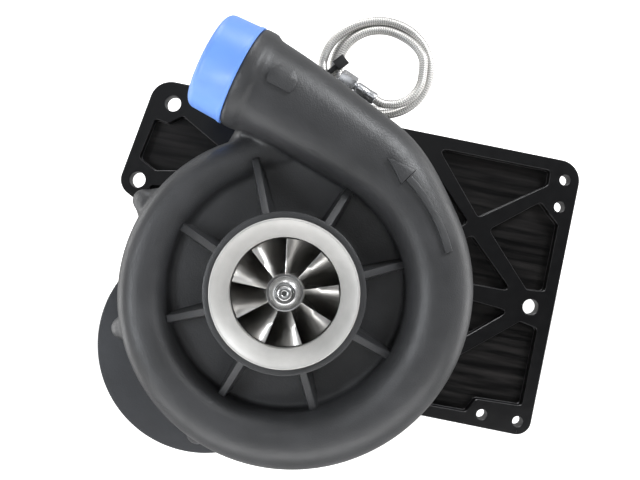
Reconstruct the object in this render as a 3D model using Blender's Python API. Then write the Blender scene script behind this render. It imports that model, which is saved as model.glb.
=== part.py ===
"""Centrifugal supercharger head unit on its mounting plate.

Frame: metres, +Z up, inlet facing -Y. The origin is on the plate's back face, on the impeller axis.
Lengths below are in millimetres and are scaled to metres when a mesh is made.
"""

import math

import bmesh
import bpy
from mathutils import Matrix, Vector

MM = 0.001
GAP = 0.3  # clearance that touching pieces keep

# Gear train: one pinion on the impeller axis, one drive gear below and to the left of it
MODULE = 2.05
GEAR_TEETH = 62
PINION_TEETH = 18
PRESSURE_ANGLE = math.radians(20)
FLANK_BACKLASH = 0.16
CENTRE_DISTANCE = MODULE * (GEAR_TEETH + PINION_TEETH) / 2
DRIVE_ANGLE = 214.5  # where the drive axis lies, seen from the impeller axis
DRIVE_X = CENTRE_DISTANCE * math.cos(math.radians(DRIVE_ANGLE))
DRIVE_Z = CENTRE_DISTANCE * math.sin(math.radians(DRIVE_ANGLE))
GEAR_FRONT = -58.0
GEAR_BACK = -38.0

# Depths along Y, back to front
PLATE_THICKNESS = 16.0
CASE_BACK = -PLATE_THICKNESS - GAP
CASE_JOINT = -46.0
CASE_FRONT = -76.0
CAVITY_BACK = -26.0
CAVITY_FRONT = -66.0
BACKPLATE_BACK = CASE_FRONT - GAP
BACKPLATE_FRONT = -83.7
HEAD_SEAT_Y = -80.3
VOLUTE_BACK = BACKPLATE_FRONT - GAP
FLANGE_FRONT = -95.0
FLOOR_Y = -110.0
COLLAR_FRONT = -155.0
INLET_FACE = -160.0

# Volute radii about the impeller axis
INLET_RADIUS = 42.3
INLET_OUTER = 56.3
COLLAR_RADIUS = 61.5
FLOOR_RADIUS = 93.0
SCROLL_START_RADIUS = 126.5
SCROLL_GROWTH = 20.0
SCROLL_SWELL = 10.5
SCROLL_WALL = 4.2
TONGUE_ANGLE = 112.0
TIP_ANGLE = 91.3
SCROLL_END_ANGLE = 416.0
FLANGE_RADIUS = 124.0
SCREW_CIRCLE = 136.0
BOSS_RADIUS = 9.0
FIRST_RIB_ANGLE = 13.0
RIB_COUNT = 8

# Discharge
EXIT_X = -32.9
EXIT_Z = 167.7
EXIT_Y = -119.0
EXIT_ANGLE = 153.0
PIPE_RADIUS = 38.8
BEAD_RADIUS = 41.0
BEAD_LENGTH = 12.6
SPIGOT_RADIUS = 38.1
SPIGOT_LENGTH = 26.0
BORE_RADIUS = 34.5
CAP_LENGTH = 31.0

# Impeller
EYE_RADIUS = 41.6
EXDUCER_RADIUS = 63.0
HUB_RADIUS = 14.8
BLADE_TIP_Y = -141.0
DISC_FRONT = -91.0
DISC_BACK = -88.0
OUTLET_FRONT = -94.6
BLADE_COUNT = 9
FIRST_BLADE_ANGLE = 8.0
BLADE_WRAP = 62.0
SPLITTER_START = 0.34

# Plate, in its own axes: u along its top edge, v up, turned clockwise about the impeller axis
PLATE_TURN = 11.4
PLATE_TOP = 156.0
PLATE_RIGHT = 233.0
PLATE_BOTTOM = -90.0
LOBE_RADIUS = 88.0
POCKET_DEPTH = 10.0
LARGE_HOLE = 6.9
SMALL_HOLE = 4.6
PLATE_HOLES = (
    ((-133.0, 137.1), LARGE_HOLE),
    ((-150.5, 65.0), LARGE_HOLE),
    ((212.3, 23.2), LARGE_HOLE),
    ((220.0, 139.2), SMALL_HOLE),
    ((219.9, 114.9), SMALL_HOLE),
    ((188.7, -78.5), SMALL_HOLE),
    ((221.0, -78.3), SMALL_HOLE),
)
PLATE_POCKETS = (
    ((105, 145), (206, 145), (206.5, 132), (151.5, 91.5)),
    ((163, 83), (203, 116), (222, 99), (222, 39), (206, 37.5)),
    ((149, 75.5), (193.5, 33.5), (120, 32), (120, 47)),
    ((95.5, 135), (143.5, 86), (128, 70), (60, 80), (60, 135)),
    ((195, 16), (130, 21), (130, -41)),
    ((206, 9), (222, 6), (222, -64), (181, -66), (174.5, -79), (70, -81), (125, -61)),
    ((-146, 121), (-134, 119), (-122, 128), (-66, 97), (-80, 87), (-137, 76), (-153, 84)),
    ((-140, 62), (-80, 74), (-100, 44), (-134, 48)),
)

# Gear case
CASE_RADIUS = 89.5
CASE_LOBE_RADIUS = 62.0
CAVITY_RADIUS = 69.0
CAVITY_LOBE_RADIUS = 26.0
CASE_BOLT_CIRCLE = 79.3
LOBE_BOLT_CIRCLE = 48.0
SNOUT_RADIUS = 29.0
SNOUT_BACK = 5.0
PLATE_BORE = 30.0

# Shafts and bearings
PINION_JOURNAL = 8.5
IMPELLER_SHAFT = 6.0
PINION_BEARING = 15.0
INPUT_SHAFT = 9.0
INPUT_BEARING = 18.0
REAR_INPUT_BEARING = 22.0

# Pulley
PULLEY_RADIUS = 44.0
PULLEY_GROOVES = 6
PULLEY_FRONT = 9.0
PULLEY_BACK = 47.0
SHAFT_BACK = 42.0

# Oil hose: its bound coil stands on the plate's top edge
HOSE_DIAMETER = 7.9
COIL_X = 78.3
COIL_INNER = 31.5
COIL_OUTER = 47.5
COIL_FRONT = -16.0
COIL_BACK = -1.0
TIE_WALL = 1.2
FITTING_ANGLE = 147.0


def material(name, colour, roughness, metallic):
    made = bpy.data.materials.new(name)
    made.use_nodes = True
    shader = made.node_tree.nodes["Principled BSDF"]
    shader.inputs["Base Color"].default_value = (*colour, 1)
    shader.inputs["Roughness"].default_value = roughness
    shader.inputs["Metallic"].default_value = metallic
    made.diffuse_color = (*colour, 1)
    return made


def clear_scene():
    for old in list(bpy.data.objects):
        bpy.data.objects.remove(old)


clear_scene()
COATED = material("coated_casting", (0.045, 0.047, 0.05), 0.55, 0.35)
GREY_CASE = material("grey_case", (0.055, 0.06, 0.066), 0.5, 0.3)
ANODISED = material("black_anodised", (0.012, 0.012, 0.014), 0.4, 0.6)
BARE = material("machined_aluminium", (0.75, 0.75, 0.74), 0.3, 1.0)
STEEL = material("steel", (0.55, 0.55, 0.55), 0.35, 1.0)
CAP_BLUE = material("cap_blue", (0.2, 0.38, 0.85), 0.4, 0.0)
BRAID = material("hose_braid", (0.6, 0.6, 0.6), 0.4, 0.9)
RUBBER = material("rubber", (0.02, 0.02, 0.02), 0.7, 0.0)
NYLON = material("black_nylon", (0.015, 0.015, 0.015), 0.45, 0.0)


def polar(radius, degrees, centre=(0.0, 0.0)):
    turn = math.radians(degrees)
    return centre[0] + radius * math.cos(turn), centre[1] + radius * math.sin(turn)


def arc(centre, radius, start, end, steps):
    """Points (x, z) along an arc, both ends included."""
    return [polar(radius, start + (end - start) * i / steps, centre) for i in range(steps + 1)]


def mesh_object(name, points, faces, finish, at=(0, 0, 0), turn=None, smooth=True):
    """A closed mesh with its faces turned outwards. Points are millimetres from `at`."""
    mesh = bpy.data.meshes.new(name)
    mesh.from_pydata([Vector(p) * MM for p in points], [], faces)
    shape = bmesh.new()
    shape.from_mesh(mesh)
    bmesh.ops.recalc_face_normals(shape, faces=shape.faces)
    if shape.calc_volume(signed=True) < 0:
        bmesh.ops.reverse_faces(shape, faces=shape.faces)
    shape.to_mesh(mesh)
    shape.free()
    if smooth:
        mesh.shade_smooth()
        mesh.set_sharp_from_angle(angle=math.radians(35))
    if finish:
        mesh.materials.append(finish)
    made = bpy.data.objects.new(name, mesh)
    made.location = Vector(at) * MM
    if turn:
        made.rotation_mode = "QUATERNION"
        made.rotation_quaternion = turn
    bpy.context.scene.collection.objects.link(made)
    return made


def lathe_data(profile, segments):
    """Points and faces of a closed (radius, y) outline turned about the Y axis."""
    points, rings = [], []
    for radius, y in profile:
        if radius == 0:
            rings.append([len(points)] * segments)
            points.append((0, y, 0))
            continue
        rings.append(list(range(len(points), len(points) + segments)))
        for i in range(segments):
            turn = 2 * math.pi * i / segments
            points.append((radius * math.cos(turn), y, radius * math.sin(turn)))
    faces = []
    for first, second in zip(rings, rings[1:] + rings[:1]):
        for i in range(segments):
            j = (i + 1) % segments
            corners = list(dict.fromkeys((first[i], first[j], second[j], second[i])))
            if len(corners) > 2:
                faces.append(corners)
    return points, faces


def lathe(name, profile, finish, at=(0, 0, 0), segments=24, turn=None):
    points, faces = lathe_data(profile, segments)
    return mesh_object(name, points, faces, finish, at, turn)


def prism_data(outline, front, back, first=0):
    """Points and faces of an (x, z) outline extruded along Y."""
    count = len(outline)
    points = [(x, front, z) for x, z in outline] + [(x, back, z) for x, z in outline]
    faces = [[first + i for i in range(count)], [first + count + i for i in range(count)]]
    for i in range(count):
        j = (i + 1) % count
        faces.append([first + i, first + j, first + count + j, first + count + i])
    return points, faces


def prisms(name, outlines, front, back, finish=None, at=(0, 0, 0), smooth=False):
    """One mesh that holds a prism for each outline."""
    points, faces = [], []
    for outline in outlines:
        more, sides = prism_data(outline, front, back, len(points))
        points += more
        faces += sides
    return mesh_object(name, points, faces, finish, at, smooth=smooth)


def circle(centre, radius, steps=20):
    return [polar(radius, 360 * i / steps, centre) for i in range(steps)]


def combine(target, other, operation):
    step = target.modifiers.new(operation.lower() + "_" + other.name, "BOOLEAN")
    step.operation = operation
    step.solver = "EXACT"
    step.object = other
    other.hide_render = True
    other.display_type = "WIRE"


def cut(target, other):
    combine(target, other, "DIFFERENCE")


def join(target, other):
    combine(target, other, "UNION")


def axis_empty(name, x, y, z):
    made = bpy.data.objects.new(name, None)
    made.location = Vector((x, y, z)) * MM
    bpy.context.scene.collection.objects.link(made)
    return made


def parent_pieces(pieces, axis):
    """Parents each piece, with its cutters, to the empty on its joint's axis."""
    for piece in pieces:
        piece.parent = axis
        for step in piece.modifiers:
            step.object.parent = axis


def smoothstep(value):
    value = min(max(value, 0.0), 1.0)
    return value * value * (3 - 2 * value)


# ---------------------------------------------------------------- volute


def scroll_outer(angle):
    """The scroll's outer radius: it grows round the turn and swells into the discharge."""
    grown = min(max((angle - TONGUE_ANGLE) / (360 - TONGUE_ANGLE), 0.0), 1.0)
    swell = smoothstep((angle - 385) / 35)
    return SCROLL_START_RADIUS + SCROLL_GROWTH * grown**0.85 + SCROLL_SWELL * swell


def scroll_inner(angle):
    """The scroll's inner radius: the floor's edge, drawn outwards towards the tongue."""
    return FLOOR_RADIUS + 22 * (1 - smoothstep((angle - 80) / 40))


def scroll_station(angle):
    """(centre, in-plane normal, half width, half depth) of the scroll's section."""
    outer, inner = scroll_outer(angle), scroll_inner(angle)
    half_width = (outer - inner) / 2
    growth = (angle - TIP_ANGLE) / (SCROLL_END_ANGLE - TIP_ANGLE)
    half_depth = 15.5 + 16.5 * growth**0.6
    x, z = polar((outer + inner) / 2, angle)
    normal = polar(1, angle)
    return (x, VOLUTE_BACK - half_depth, z), normal, half_width, half_depth


def bezier(a, b, c, d, t):
    s = 1 - t
    return [s**3 * p + 3 * s * s * t * q + 3 * s * t * t * r + t**3 * w for p, q, r, w in zip(a, b, c, d)]


def pipe_station(share):
    """The same for the diffuser, from the scroll's end (0) to the discharge (1)."""
    start, _, width, depth = scroll_station(SCROLL_END_ANGLE)
    end = (EXIT_X, EXIT_Y, EXIT_Z)
    leave = polar(40, SCROLL_END_ANGLE + 90)
    arrive = polar(40, EXIT_ANGLE)
    second = (start[0] + leave[0], start[1], start[2] + leave[1])
    third = (end[0] - arrive[0], end[1], end[2] - arrive[1])
    centre = bezier(start, second, third, end, share)
    before = bezier(start, second, third, end, share - 0.01)
    after = bezier(start, second, third, end, share + 0.01)
    along = Vector((after[0] - before[0], after[2] - before[2])).normalized()
    normal = (along.y, -along.x)
    half_width = width + (PIPE_RADIUS - width) * share
    half_depth = depth + (PIPE_RADIUS - depth) * share**2
    return centre, normal, half_width, half_depth


def shrunk(station, wall):
    centre, normal, width, depth = station
    return centre, normal, width - wall, depth - wall


def section_ring(station, sides, squareness):
    """A rounded section: an ellipse drawn a little towards its corners."""
    (x, y, z), (nx, nz), width, depth = station
    ring = []
    for i in range(sides):
        turn = 2 * math.pi * (i + 0.5) / sides
        c, s = math.cos(turn), math.sin(turn)
        stretch = (abs(c) ** squareness + abs(s) ** squareness) ** (-1 / squareness)
        across = width * c * stretch
        deep = depth * s * stretch
        ring.append((x + nx * across, y + deep, z + nz * across))
    return ring


def swept(name, stations, sides, squareness):
    points, faces = [], []
    for station in stations:
        points += section_ring(station, sides, squareness)
    for k in range(len(stations) - 1):
        for i in range(sides):
            j = (i + 1) % sides
            a, b = k * sides, (k + 1) * sides
            faces.append([a + i, a + j, b + j, b + i])
    faces.append(list(range(sides)))
    faces.append(list(range(len(points) - sides, len(points))))
    return mesh_object(name, points, faces, None)


def angles_between(start, end, steps):
    return [start + (end - start) * i / steps for i in range(steps + 1)]


def exit_turn():
    dx, dz = polar(1, EXIT_ANGLE)
    return Vector((0, 1, 0)).rotation_difference(Vector((dx, 0, dz)))


def impeller_contour(radius_in, y_in, radius_out, y_out, steps=8):
    """A quarter-ellipse from an axial inlet to a radial outlet, as (radius, y)."""
    line = []
    for i in range(steps + 1):
        turn = math.pi / 2 * i / steps
        radius = radius_out - (radius_out - radius_in) * math.cos(turn)
        line.append((radius, y_in + (y_out - y_in) * math.sin(turn)))
    return line


def volute_cavity():
    """The turned space inside: bell-mouth, throat, shroud and vaneless diffuser."""
    shroud = impeller_contour(INLET_RADIUS, -138.0, EXDUCER_RADIUS + 3, OUTLET_FRONT - 0.9)
    profile = [(0, INLET_FACE - 5), (INLET_OUTER + 2.6, INLET_FACE - 5), (INLET_OUTER - 1.4, INLET_FACE)]
    profile += [(INLET_RADIUS, INLET_FACE + 13.5)] + shroud
    profile += [(103, OUTLET_FRONT - 0.9), (103, VOLUTE_BACK + 5), (0, VOLUTE_BACK + 5)]
    return lathe("volute_cavity", profile, None, segments=42)


def volute_ribs():
    points, faces = [], []
    inner, outer, foot = COLLAR_RADIUS - 3, FLOOR_RADIUS + 8, FLOOR_Y + 4
    foot_corners = ((inner, foot, 5.6), (outer, foot, 4.0))
    crest_corners = ((outer, -119.5, 2.3), (inner, -152.5, 2.6))
    for k in range(RIB_COUNT):
        angle = FIRST_RIB_ANGLE + 360 / RIB_COUNT * k
        c, s = polar(1, angle)
        first = len(points)
        for side in (-1, 1):
            for radius, y, half in foot_corners + crest_corners:
                points.append((radius * c - side * half * s, y, radius * s + side * half * c))
        faces += [[first + i for i in range(4)], [first + 4 + i for i in range(4)]]
        faces += [[first + i, first + (i + 1) % 4, first + 4 + (i + 1) % 4, first + 4 + i] for i in range(4)]
    return mesh_object("volute_ribs", points, faces, None)


def screw_angles():
    return [FIRST_RIB_ANGLE + 360 / RIB_COUNT * k for k in range(RIB_COUNT)]


def volute_housing():
    bell = [(30, VOLUTE_BACK), (FLANGE_RADIUS, VOLUTE_BACK), (FLANGE_RADIUS, FLANGE_FRONT)]
    bell += [(FLOOR_RADIUS + 12, FLANGE_FRONT), (FLOOR_RADIUS + 8, FLOOR_Y), (COLLAR_RADIUS + 1.5, FLOOR_Y)]
    bell += [(COLLAR_RADIUS, FLOOR_Y - 3), (COLLAR_RADIUS, COLLAR_FRONT + 3)]
    bell += [(COLLAR_RADIUS - 3, COLLAR_FRONT), (INLET_OUTER, COLLAR_FRONT)]
    bell += [(INLET_OUTER, INLET_FACE), (30, INLET_FACE)]
    housing = lathe("volute_housing", bell, COATED, segments=42)
    early = [shrunk(scroll_station(a), -0.3) for a in angles_between(TIP_ANGLE, 230, 10)]
    early.append(shrunk(scroll_station(238), 3))
    late = [shrunk(scroll_station(220), 3)]
    late += [scroll_station(a) for a in angles_between(230, SCROLL_END_ANGLE, 12)]
    late += [pipe_station(0.95 * i / 5) for i in range(1, 6)]
    join(housing, swept("scroll_first_part", early, 12, 2.3))
    join(housing, swept("scroll_last_part", late, 12, 2.3))
    join(housing, prisms("volute_bosses", boss_outlines(), VOLUTE_BACK - 0.2, VOLUTE_BACK - 14))
    join(housing, volute_ribs())
    spigot = [(0, -BEAD_LENGTH), (BEAD_RADIUS - 1.2, -BEAD_LENGTH), (BEAD_RADIUS, 1.2 - BEAD_LENGTH)]
    spigot += [(BEAD_RADIUS, -1), (BEAD_RADIUS - 1, 0), (SPIGOT_RADIUS, 0)]
    spigot += [(SPIGOT_RADIUS, SPIGOT_LENGTH), (0, SPIGOT_LENGTH)]
    exit_at = (EXIT_X, EXIT_Y, EXIT_Z)
    join(housing, lathe("discharge_spigot", spigot, None, exit_at, 28, exit_turn()))
    cut(housing, volute_cavity())
    hollow = [scroll_station(a) for a in angles_between(TONGUE_ANGLE, SCROLL_END_ANGLE, 17)]
    hollow += [pipe_station(0.93 * i / 5) for i in range(1, 5)]
    cut(housing, swept("scroll_hollow", [shrunk(h, SCROLL_WALL) for h in hollow], 10, 2.2))
    bore = [(0, -30), (BORE_RADIUS - 1, -30), (BORE_RADIUS, 0), (BORE_RADIUS, SPIGOT_LENGTH + 5)]
    bore += [(0, SPIGOT_LENGTH + 5)]
    cut(housing, lathe("discharge_bore", bore, None, exit_at, 28, exit_turn()))
    holes = [circle(polar(SCREW_CIRCLE, a), 3.3, 8) for a in screw_angles()]
    cut(housing, prisms("volute_screw_holes", holes, VOLUTE_BACK + 2, VOLUTE_BACK - 10.5))


def boss_outlines():
    """A rounded tab for each flange screw, reaching in under the scroll."""
    outlines = []
    for angle in screw_angles():
        tip = arc(polar(SCREW_CIRCLE, angle), BOSS_RADIUS, angle - 80, angle + 80, 6)
        outlines.append([polar(112, angle - 7)] + tip + [polar(112, angle + 7)])
    return outlines


def backplate():
    rim = [(0, BACKPLATE_BACK), (122, BACKPLATE_BACK), (122, BACKPLATE_FRONT), (0, BACKPLATE_FRONT)]
    plate = lathe("backplate", rim, BARE, segments=36)
    join(plate, prisms("backplate_tabs", boss_outlines(), BACKPLATE_BACK, BACKPLATE_FRONT))
    seat = [(0, BACKPLATE_BACK + 5), (12.3, BACKPLATE_BACK + 5), (12.3, -81.0), (9.2, -81.0)]
    seat += [(9.2, BACKPLATE_FRONT - 5), (0, BACKPLATE_FRONT - 5)]
    cut(plate, lathe("backplate_bore", seat, None, segments=16))
    holes = [circle(polar(SCREW_CIRCLE, a), 3.3, 8) for a in screw_angles()]
    holes += [circle(polar(LOBE_BOLT_CIRCLE, a), 3.3, 8) for a in backplate_screw_angles()]
    cut(plate, prisms("backplate_holes", holes, BACKPLATE_BACK + 3, BACKPLATE_FRONT - 3))
    heads = [circle(polar(SCREW_CIRCLE, a), 5.6, 8) for a in screw_angles()]
    cut(plate, prisms("volute_screw_seats", heads, HEAD_SEAT_Y, BACKPLATE_BACK + 3))
    heads = [circle(polar(LOBE_BOLT_CIRCLE, a), 5.8, 8) for a in backplate_screw_angles()]
    cut(plate, prisms("backplate_screw_seats", heads, -80.0, BACKPLATE_FRONT - 3))


def backplate_screw_angles():
    return [80.0, 350.0, 305.0, 125.0]


# ---------------------------------------------------------------- screws


def screw(name, x, z, seat_y, toward, head_radius, head_height, shank_radius, shank_length, finish=STEEL):
    """A screw with a round head. Its head rests on seat_y and its shank runs `toward` (+1 or -1) along Y."""
    profile = [(0, head_height), (head_radius, head_height), (head_radius, 0)]
    profile += [(shank_radius, 0), (shank_radius, -shank_length), (0, -shank_length)]
    profile = [(r, -toward * y) for r, y in profile]
    return lathe(name, profile, finish, (x, seat_y, z), 8)


def volute_screws():
    for k, angle in enumerate(screw_angles()):
        x, z = polar(SCREW_CIRCLE, angle)
        screw(f"volute_screw_{k + 1}", x, z, HEAD_SEAT_Y + GAP, -1, 5.0, 3.2, 3.0, 13.0)


def backplate_screws():
    for k, angle in enumerate(backplate_screw_angles()):
        x, z = polar(LOBE_BOLT_CIRCLE, angle)
        screw(f"backplate_screw_{k + 1}", x, z, -80.3, 1, 5.4, 3.0, 3.0, 12.0)


def case_point(bolt):
    """A fastener's place on the gear case: on the drive circle, or on the impeller-side lobe."""
    side, angle = bolt
    if side == "drive":
        return polar(CASE_BOLT_CIRCLE, angle, (DRIVE_X, DRIVE_Z))
    return polar(LOBE_BOLT_CIRCLE, angle)


PLATE_BOLTS = [("drive", a) for a in (104.5, 154.5, 204.5, 254.5, 304.5)] + [("lobe", 22.0)]
CASE_SCREWS = [("drive", a) for a in (129.5, 229.5, 330.0)] + [("lobe", 62.0)]
DOWELS = [("drive", 179.5), ("drive", 279.5)]


def case_fasteners():
    for k, bolt in enumerate(PLATE_BOLTS):
        x, z = case_point(bolt)
        screw(f"plate_bolt_{k + 1}", x, z, -9.0 + GAP, -1, 6.4, 7.0, 4.0, 24.0)
    for k, bolt in enumerate(CASE_SCREWS):
        x, z = case_point(bolt)
        screw(f"case_screw_{k + 1}", x, z, CASE_BACK - 6.7, -1, 5.0, 5.0, 3.0, 36.0)
    for k, bolt in enumerate(DOWELS):
        x, z = case_point(bolt)
        pin = [(0, 8), (2.5, 8), (3, 7.5), (3, -7.5), (2.5, -8), (0, -8)]
        lathe(f"dowel_pin_{k + 1}", pin, STEEL, (x, CASE_JOINT, z), 12)


# ---------------------------------------------------------------- gear case


def two_circle_outline(drive_radius, lobe_radius, steps=30):
    """The union of a circle about the drive axis and one about the impeller axis."""
    reach = (drive_radius**2 - lobe_radius**2 + CENTRE_DISTANCE**2) / (2 * CENTRE_DISTANCE)
    drive_half = math.degrees(math.acos(reach / drive_radius))
    lobe_half = math.degrees(math.acos((CENTRE_DISTANCE - reach) / lobe_radius))
    toward = DRIVE_ANGLE - 180
    outline = arc((DRIVE_X, DRIVE_Z), drive_radius, toward + drive_half, toward + 360 - drive_half, steps)
    lobe = arc((0, 0), lobe_radius, DRIVE_ANGLE + lobe_half, DRIVE_ANGLE + 360 - lobe_half, steps // 3)
    return outline + lobe[1:-1]


def case_holes(bolts, radius, steps=8):
    return [circle(case_point(bolt), radius, steps) for bolt in bolts]


def gearcase_front():
    case = prisms("gearcase_front", [two_circle_outline(CASE_RADIUS, CASE_LOBE_RADIUS)],
                  CASE_FRONT, CASE_JOINT - GAP / 2, GREY_CASE)
    cavity = [two_circle_outline(CAVITY_RADIUS, CAVITY_LOBE_RADIUS)]
    cut(case, prisms("front_cavity", cavity, CAVITY_FRONT, CASE_JOINT + 5))
    cut(case, prisms("front_pinion_seat", [circle((0, 0), PINION_BEARING + GAP, 16)], CASE_FRONT - 4, -60))
    input_seat = [circle((DRIVE_X, DRIVE_Z), INPUT_BEARING + GAP, 16)]
    cut(case, prisms("front_input_seat", input_seat, -73.0, -60))
    holes = case_holes(CASE_SCREWS, 3.3) + case_holes(DOWELS, 3.3)
    cut(case, prisms("front_case_holes", holes, -62.0, CASE_JOINT + 4))
    holes = [circle(polar(LOBE_BOLT_CIRCLE, a), 3.3, 8) for a in backplate_screw_angles()]
    cut(case, prisms("front_backplate_holes", holes, CASE_FRONT - 3, CASE_FRONT + 9.5))


def gearcase_rear():
    case = prisms("gearcase_rear", [two_circle_outline(CASE_RADIUS, CASE_LOBE_RADIUS)],
                  CASE_JOINT + GAP / 2, CASE_BACK, GREY_CASE)
    drive = (DRIVE_X, DRIVE_Z)
    join(case, prisms("snout", [circle(drive, SNOUT_RADIUS, 24)], CASE_BACK - 3, SNOUT_BACK))
    join(case, lathe("feed_boss", [(0, 0), (10, 0), (10, 8), (0, 8)], None, FEED_AT, 20, up_turn()))
    cavity = [two_circle_outline(CAVITY_RADIUS, CAVITY_LOBE_RADIUS)]
    cut(case, prisms("rear_cavity", cavity, CASE_JOINT - 5, CAVITY_BACK))
    cut(case, prisms("rear_pinion_seat", [circle((0, 0), PINION_BEARING + GAP, 16)], -34, -18.5))
    cut(case, prisms("rear_input_seat", [circle(drive, REAR_INPUT_BEARING + GAP, 16)], -34, -8.0))
    cut(case, prisms("input_seal_seat", [circle(drive, 17.3, 16)], -12, SNOUT_BACK + 5))
    holes = case_holes(CASE_SCREWS, 3.3) + case_holes(DOWELS, 3.3)
    cut(case, prisms("rear_screw_holes", holes[:4], CASE_JOINT - 4, CASE_BACK + 4))
    cut(case, prisms("rear_dowel_holes", holes[4:], CASE_JOINT - 4, -37.5))
    cut(case, prisms("rear_head_seats", case_holes(CASE_SCREWS, 5.6, 8), CASE_BACK - 7, CASE_BACK + 4))
    cut(case, prisms("rear_bolt_holes", case_holes(PLATE_BOLTS, 4.3), -34.0, CASE_BACK + 4))
    port = [(0, -30), (2.8, -30), (2.8, 3), (5.3, 3), (5.3, 12), (0, 12)]
    cut(case, lathe("feed_port", port, None, FEED_AT, 16, up_turn()))
    drain = [(0, 6), (6.3, 6), (6.3, -8), (3, -8), (3, -30), (0, -30)]
    cut(case, lathe("drain_port", drain, None, DRAIN_AT, 16, down_turn()))


def up_turn():
    return Vector((0, 1, 0)).rotation_difference(Vector((0, 0, 1)))


def down_turn():
    return Vector((0, 1, 0)).rotation_difference(Vector((0, 0, -1)))


FEED_AT = (12.0, -31.0, 58.0)
DRAIN_AT = (DRIVE_X, -31.0, DRIVE_Z - CASE_RADIUS)


def oil_fittings():
    """The feed fitting stands on the case's top, and the drain plug closes its lowest point."""
    feed = [(0, 3.5), (5.0, 3.5), (5.0, 8.4), (7.6, 8.4), (7.6, 15), (4.6, 15), (4.6, 24), (0, 24)]
    lathe("oil_feed_fitting", feed, STEEL, FEED_AT, 14, up_turn())
    plug = [(0, -7), (6, -7), (6, 0.3), (8.5, 0.3), (8.5, 6.5), (0, 6.5)]
    lathe("oil_drain_plug", plug, STEEL, DRAIN_AT, 14, down_turn())


# ---------------------------------------------------------------- rotating parts


def involute_point(base, radius):
    """Polar angle swept by an involute from its base circle out to this radius."""
    roll = math.sqrt(max((radius / base) ** 2 - 1, 0))
    return roll - math.atan(roll)


def gear_outline(teeth, first_angle):
    """An involute spur gear's outline; one tooth is centred on first_angle (degrees)."""
    pitch = MODULE * teeth / 2
    base = pitch * math.cos(PRESSURE_ANGLE)
    outer = pitch + 0.95 * MODULE
    root = pitch - 1.25 * MODULE
    half_tooth = math.pi / (2 * teeth) - FLANK_BACKLASH / pitch
    at_pitch = involute_point(base, pitch)
    start = max(base, root + 0.2)
    radii = [root, start, outer]
    offsets = [half_tooth + at_pitch - involute_point(base, max(r, base)) for r in radii]
    outline = []
    for k in range(teeth):
        middle = math.radians(first_angle) + 2 * math.pi * k / teeth
        for radius, offset in zip(radii, offsets):
            outline.append((radius * math.cos(middle - offset), radius * math.sin(middle - offset)))
        for radius, offset in zip(radii[::-1], offsets[::-1]):
            outline.append((radius * math.cos(middle + offset), radius * math.sin(middle + offset)))
    return outline


def drive_parts():
    axle = axis_empty("drive_axis", DRIVE_X, 0, DRIVE_Z)
    made = [drive_gear(), input_shaft(), drive_key(), drive_pulley()]
    front, back = SHAFT_BACK + 5.6, SHAFT_BACK + 8.4
    washer = [(5.3, front), (16, front), (16, back), (5.3, back)]
    made.append(lathe("pulley_washer", washer, STEEL, segments=16))
    made.append(screw("pulley_bolt", 0, 0, SHAFT_BACK + 8.7, -1, 8.5, 8.0, 5.0, 28.0))
    parent_pieces(made, axle)


def drive_gear():
    toward = DRIVE_ANGLE - 180
    outline = gear_outline(GEAR_TEETH, toward + 180 / GEAR_TEETH)
    gear = prisms("drive_gear", [outline], GEAR_FRONT, GEAR_BACK, STEEL)
    cut(gear, prisms("gear_bore", [circle((0, 0), 11.3, 24)], GEAR_FRONT - 4, GEAR_BACK + 4))
    web = [(20, 0), (54, 0), (52, 6), (22, 6)]
    front = [(r, GEAR_FRONT - 2 + y * 1.2) for r, y in web]
    back = [(r, GEAR_BACK + 2 - y * 1.2) for r, y in web]
    cut(gear, lathe("gear_web_front", front, None, segments=20))
    cut(gear, lathe("gear_web_back", back, None, segments=20))
    return gear


def input_shaft():
    profile = [(0, -72.4), (9, -72.4), (9, -63), (11, -62.7), (11, -32), (14, -31.8), (14, -26), (11, -26)]
    profile += [(11, -2), (INPUT_SHAFT, -1.5), (INPUT_SHAFT, SHAFT_BACK), (0, SHAFT_BACK)]
    shaft = lathe("input_shaft", profile, STEEL, segments=16)
    thread = [(0, SHAFT_BACK - 22), (5.3, SHAFT_BACK - 22), (5.3, SHAFT_BACK + 3), (0, SHAFT_BACK + 3)]
    cut(shaft, lathe("shaft_thread", thread, None, segments=16))
    cut(shaft, prisms("shaft_keyway", [key_outline(GAP)], 14, 36))
    return shaft


def key_outline(clearance):
    half = 2.5 + clearance
    low, high = 6.8 - clearance, 11.2 + clearance
    return [(-half, low), (half, low), (half, high), (-half, high)]


def drive_key():
    return prisms("drive_key", [key_outline(0)], 14.4, 35.6, STEEL)


def drive_pulley():
    """A ribbed belt pulley: grooves between two flanges, a web and a keyed hub."""
    profile = [(INPUT_SHAFT + GAP, PULLEY_FRONT), (20, PULLEY_FRONT), (20, 24), (36, 24), (36, PULLEY_FRONT)]
    profile += [(PULLEY_RADIUS + 2.5, PULLEY_FRONT), (PULLEY_RADIUS + 2.5, PULLEY_FRONT + 2.5)]
    groove = (PULLEY_BACK - PULLEY_FRONT - 9) / PULLEY_GROOVES
    for k in range(PULLEY_GROOVES):
        start = PULLEY_FRONT + 4 + groove * k
        profile += [(PULLEY_RADIUS, start), (PULLEY_RADIUS - 2.6, start + groove / 2)]
    profile += [(PULLEY_RADIUS, PULLEY_BACK - 5), (PULLEY_RADIUS + 2.5, PULLEY_BACK - 2.5)]
    profile += [(PULLEY_RADIUS + 2.5, PULLEY_BACK), (36, PULLEY_BACK), (36, 32), (20, 32), (20, PULLEY_BACK)]
    profile += [(INPUT_SHAFT + GAP, PULLEY_BACK)]
    pulley = lathe("drive_pulley", profile, ANODISED, segments=24)
    cut(pulley, prisms("pulley_keyway", [key_outline(GAP)], PULLEY_FRONT - 3, PULLEY_BACK + 3))
    return pulley


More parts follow.
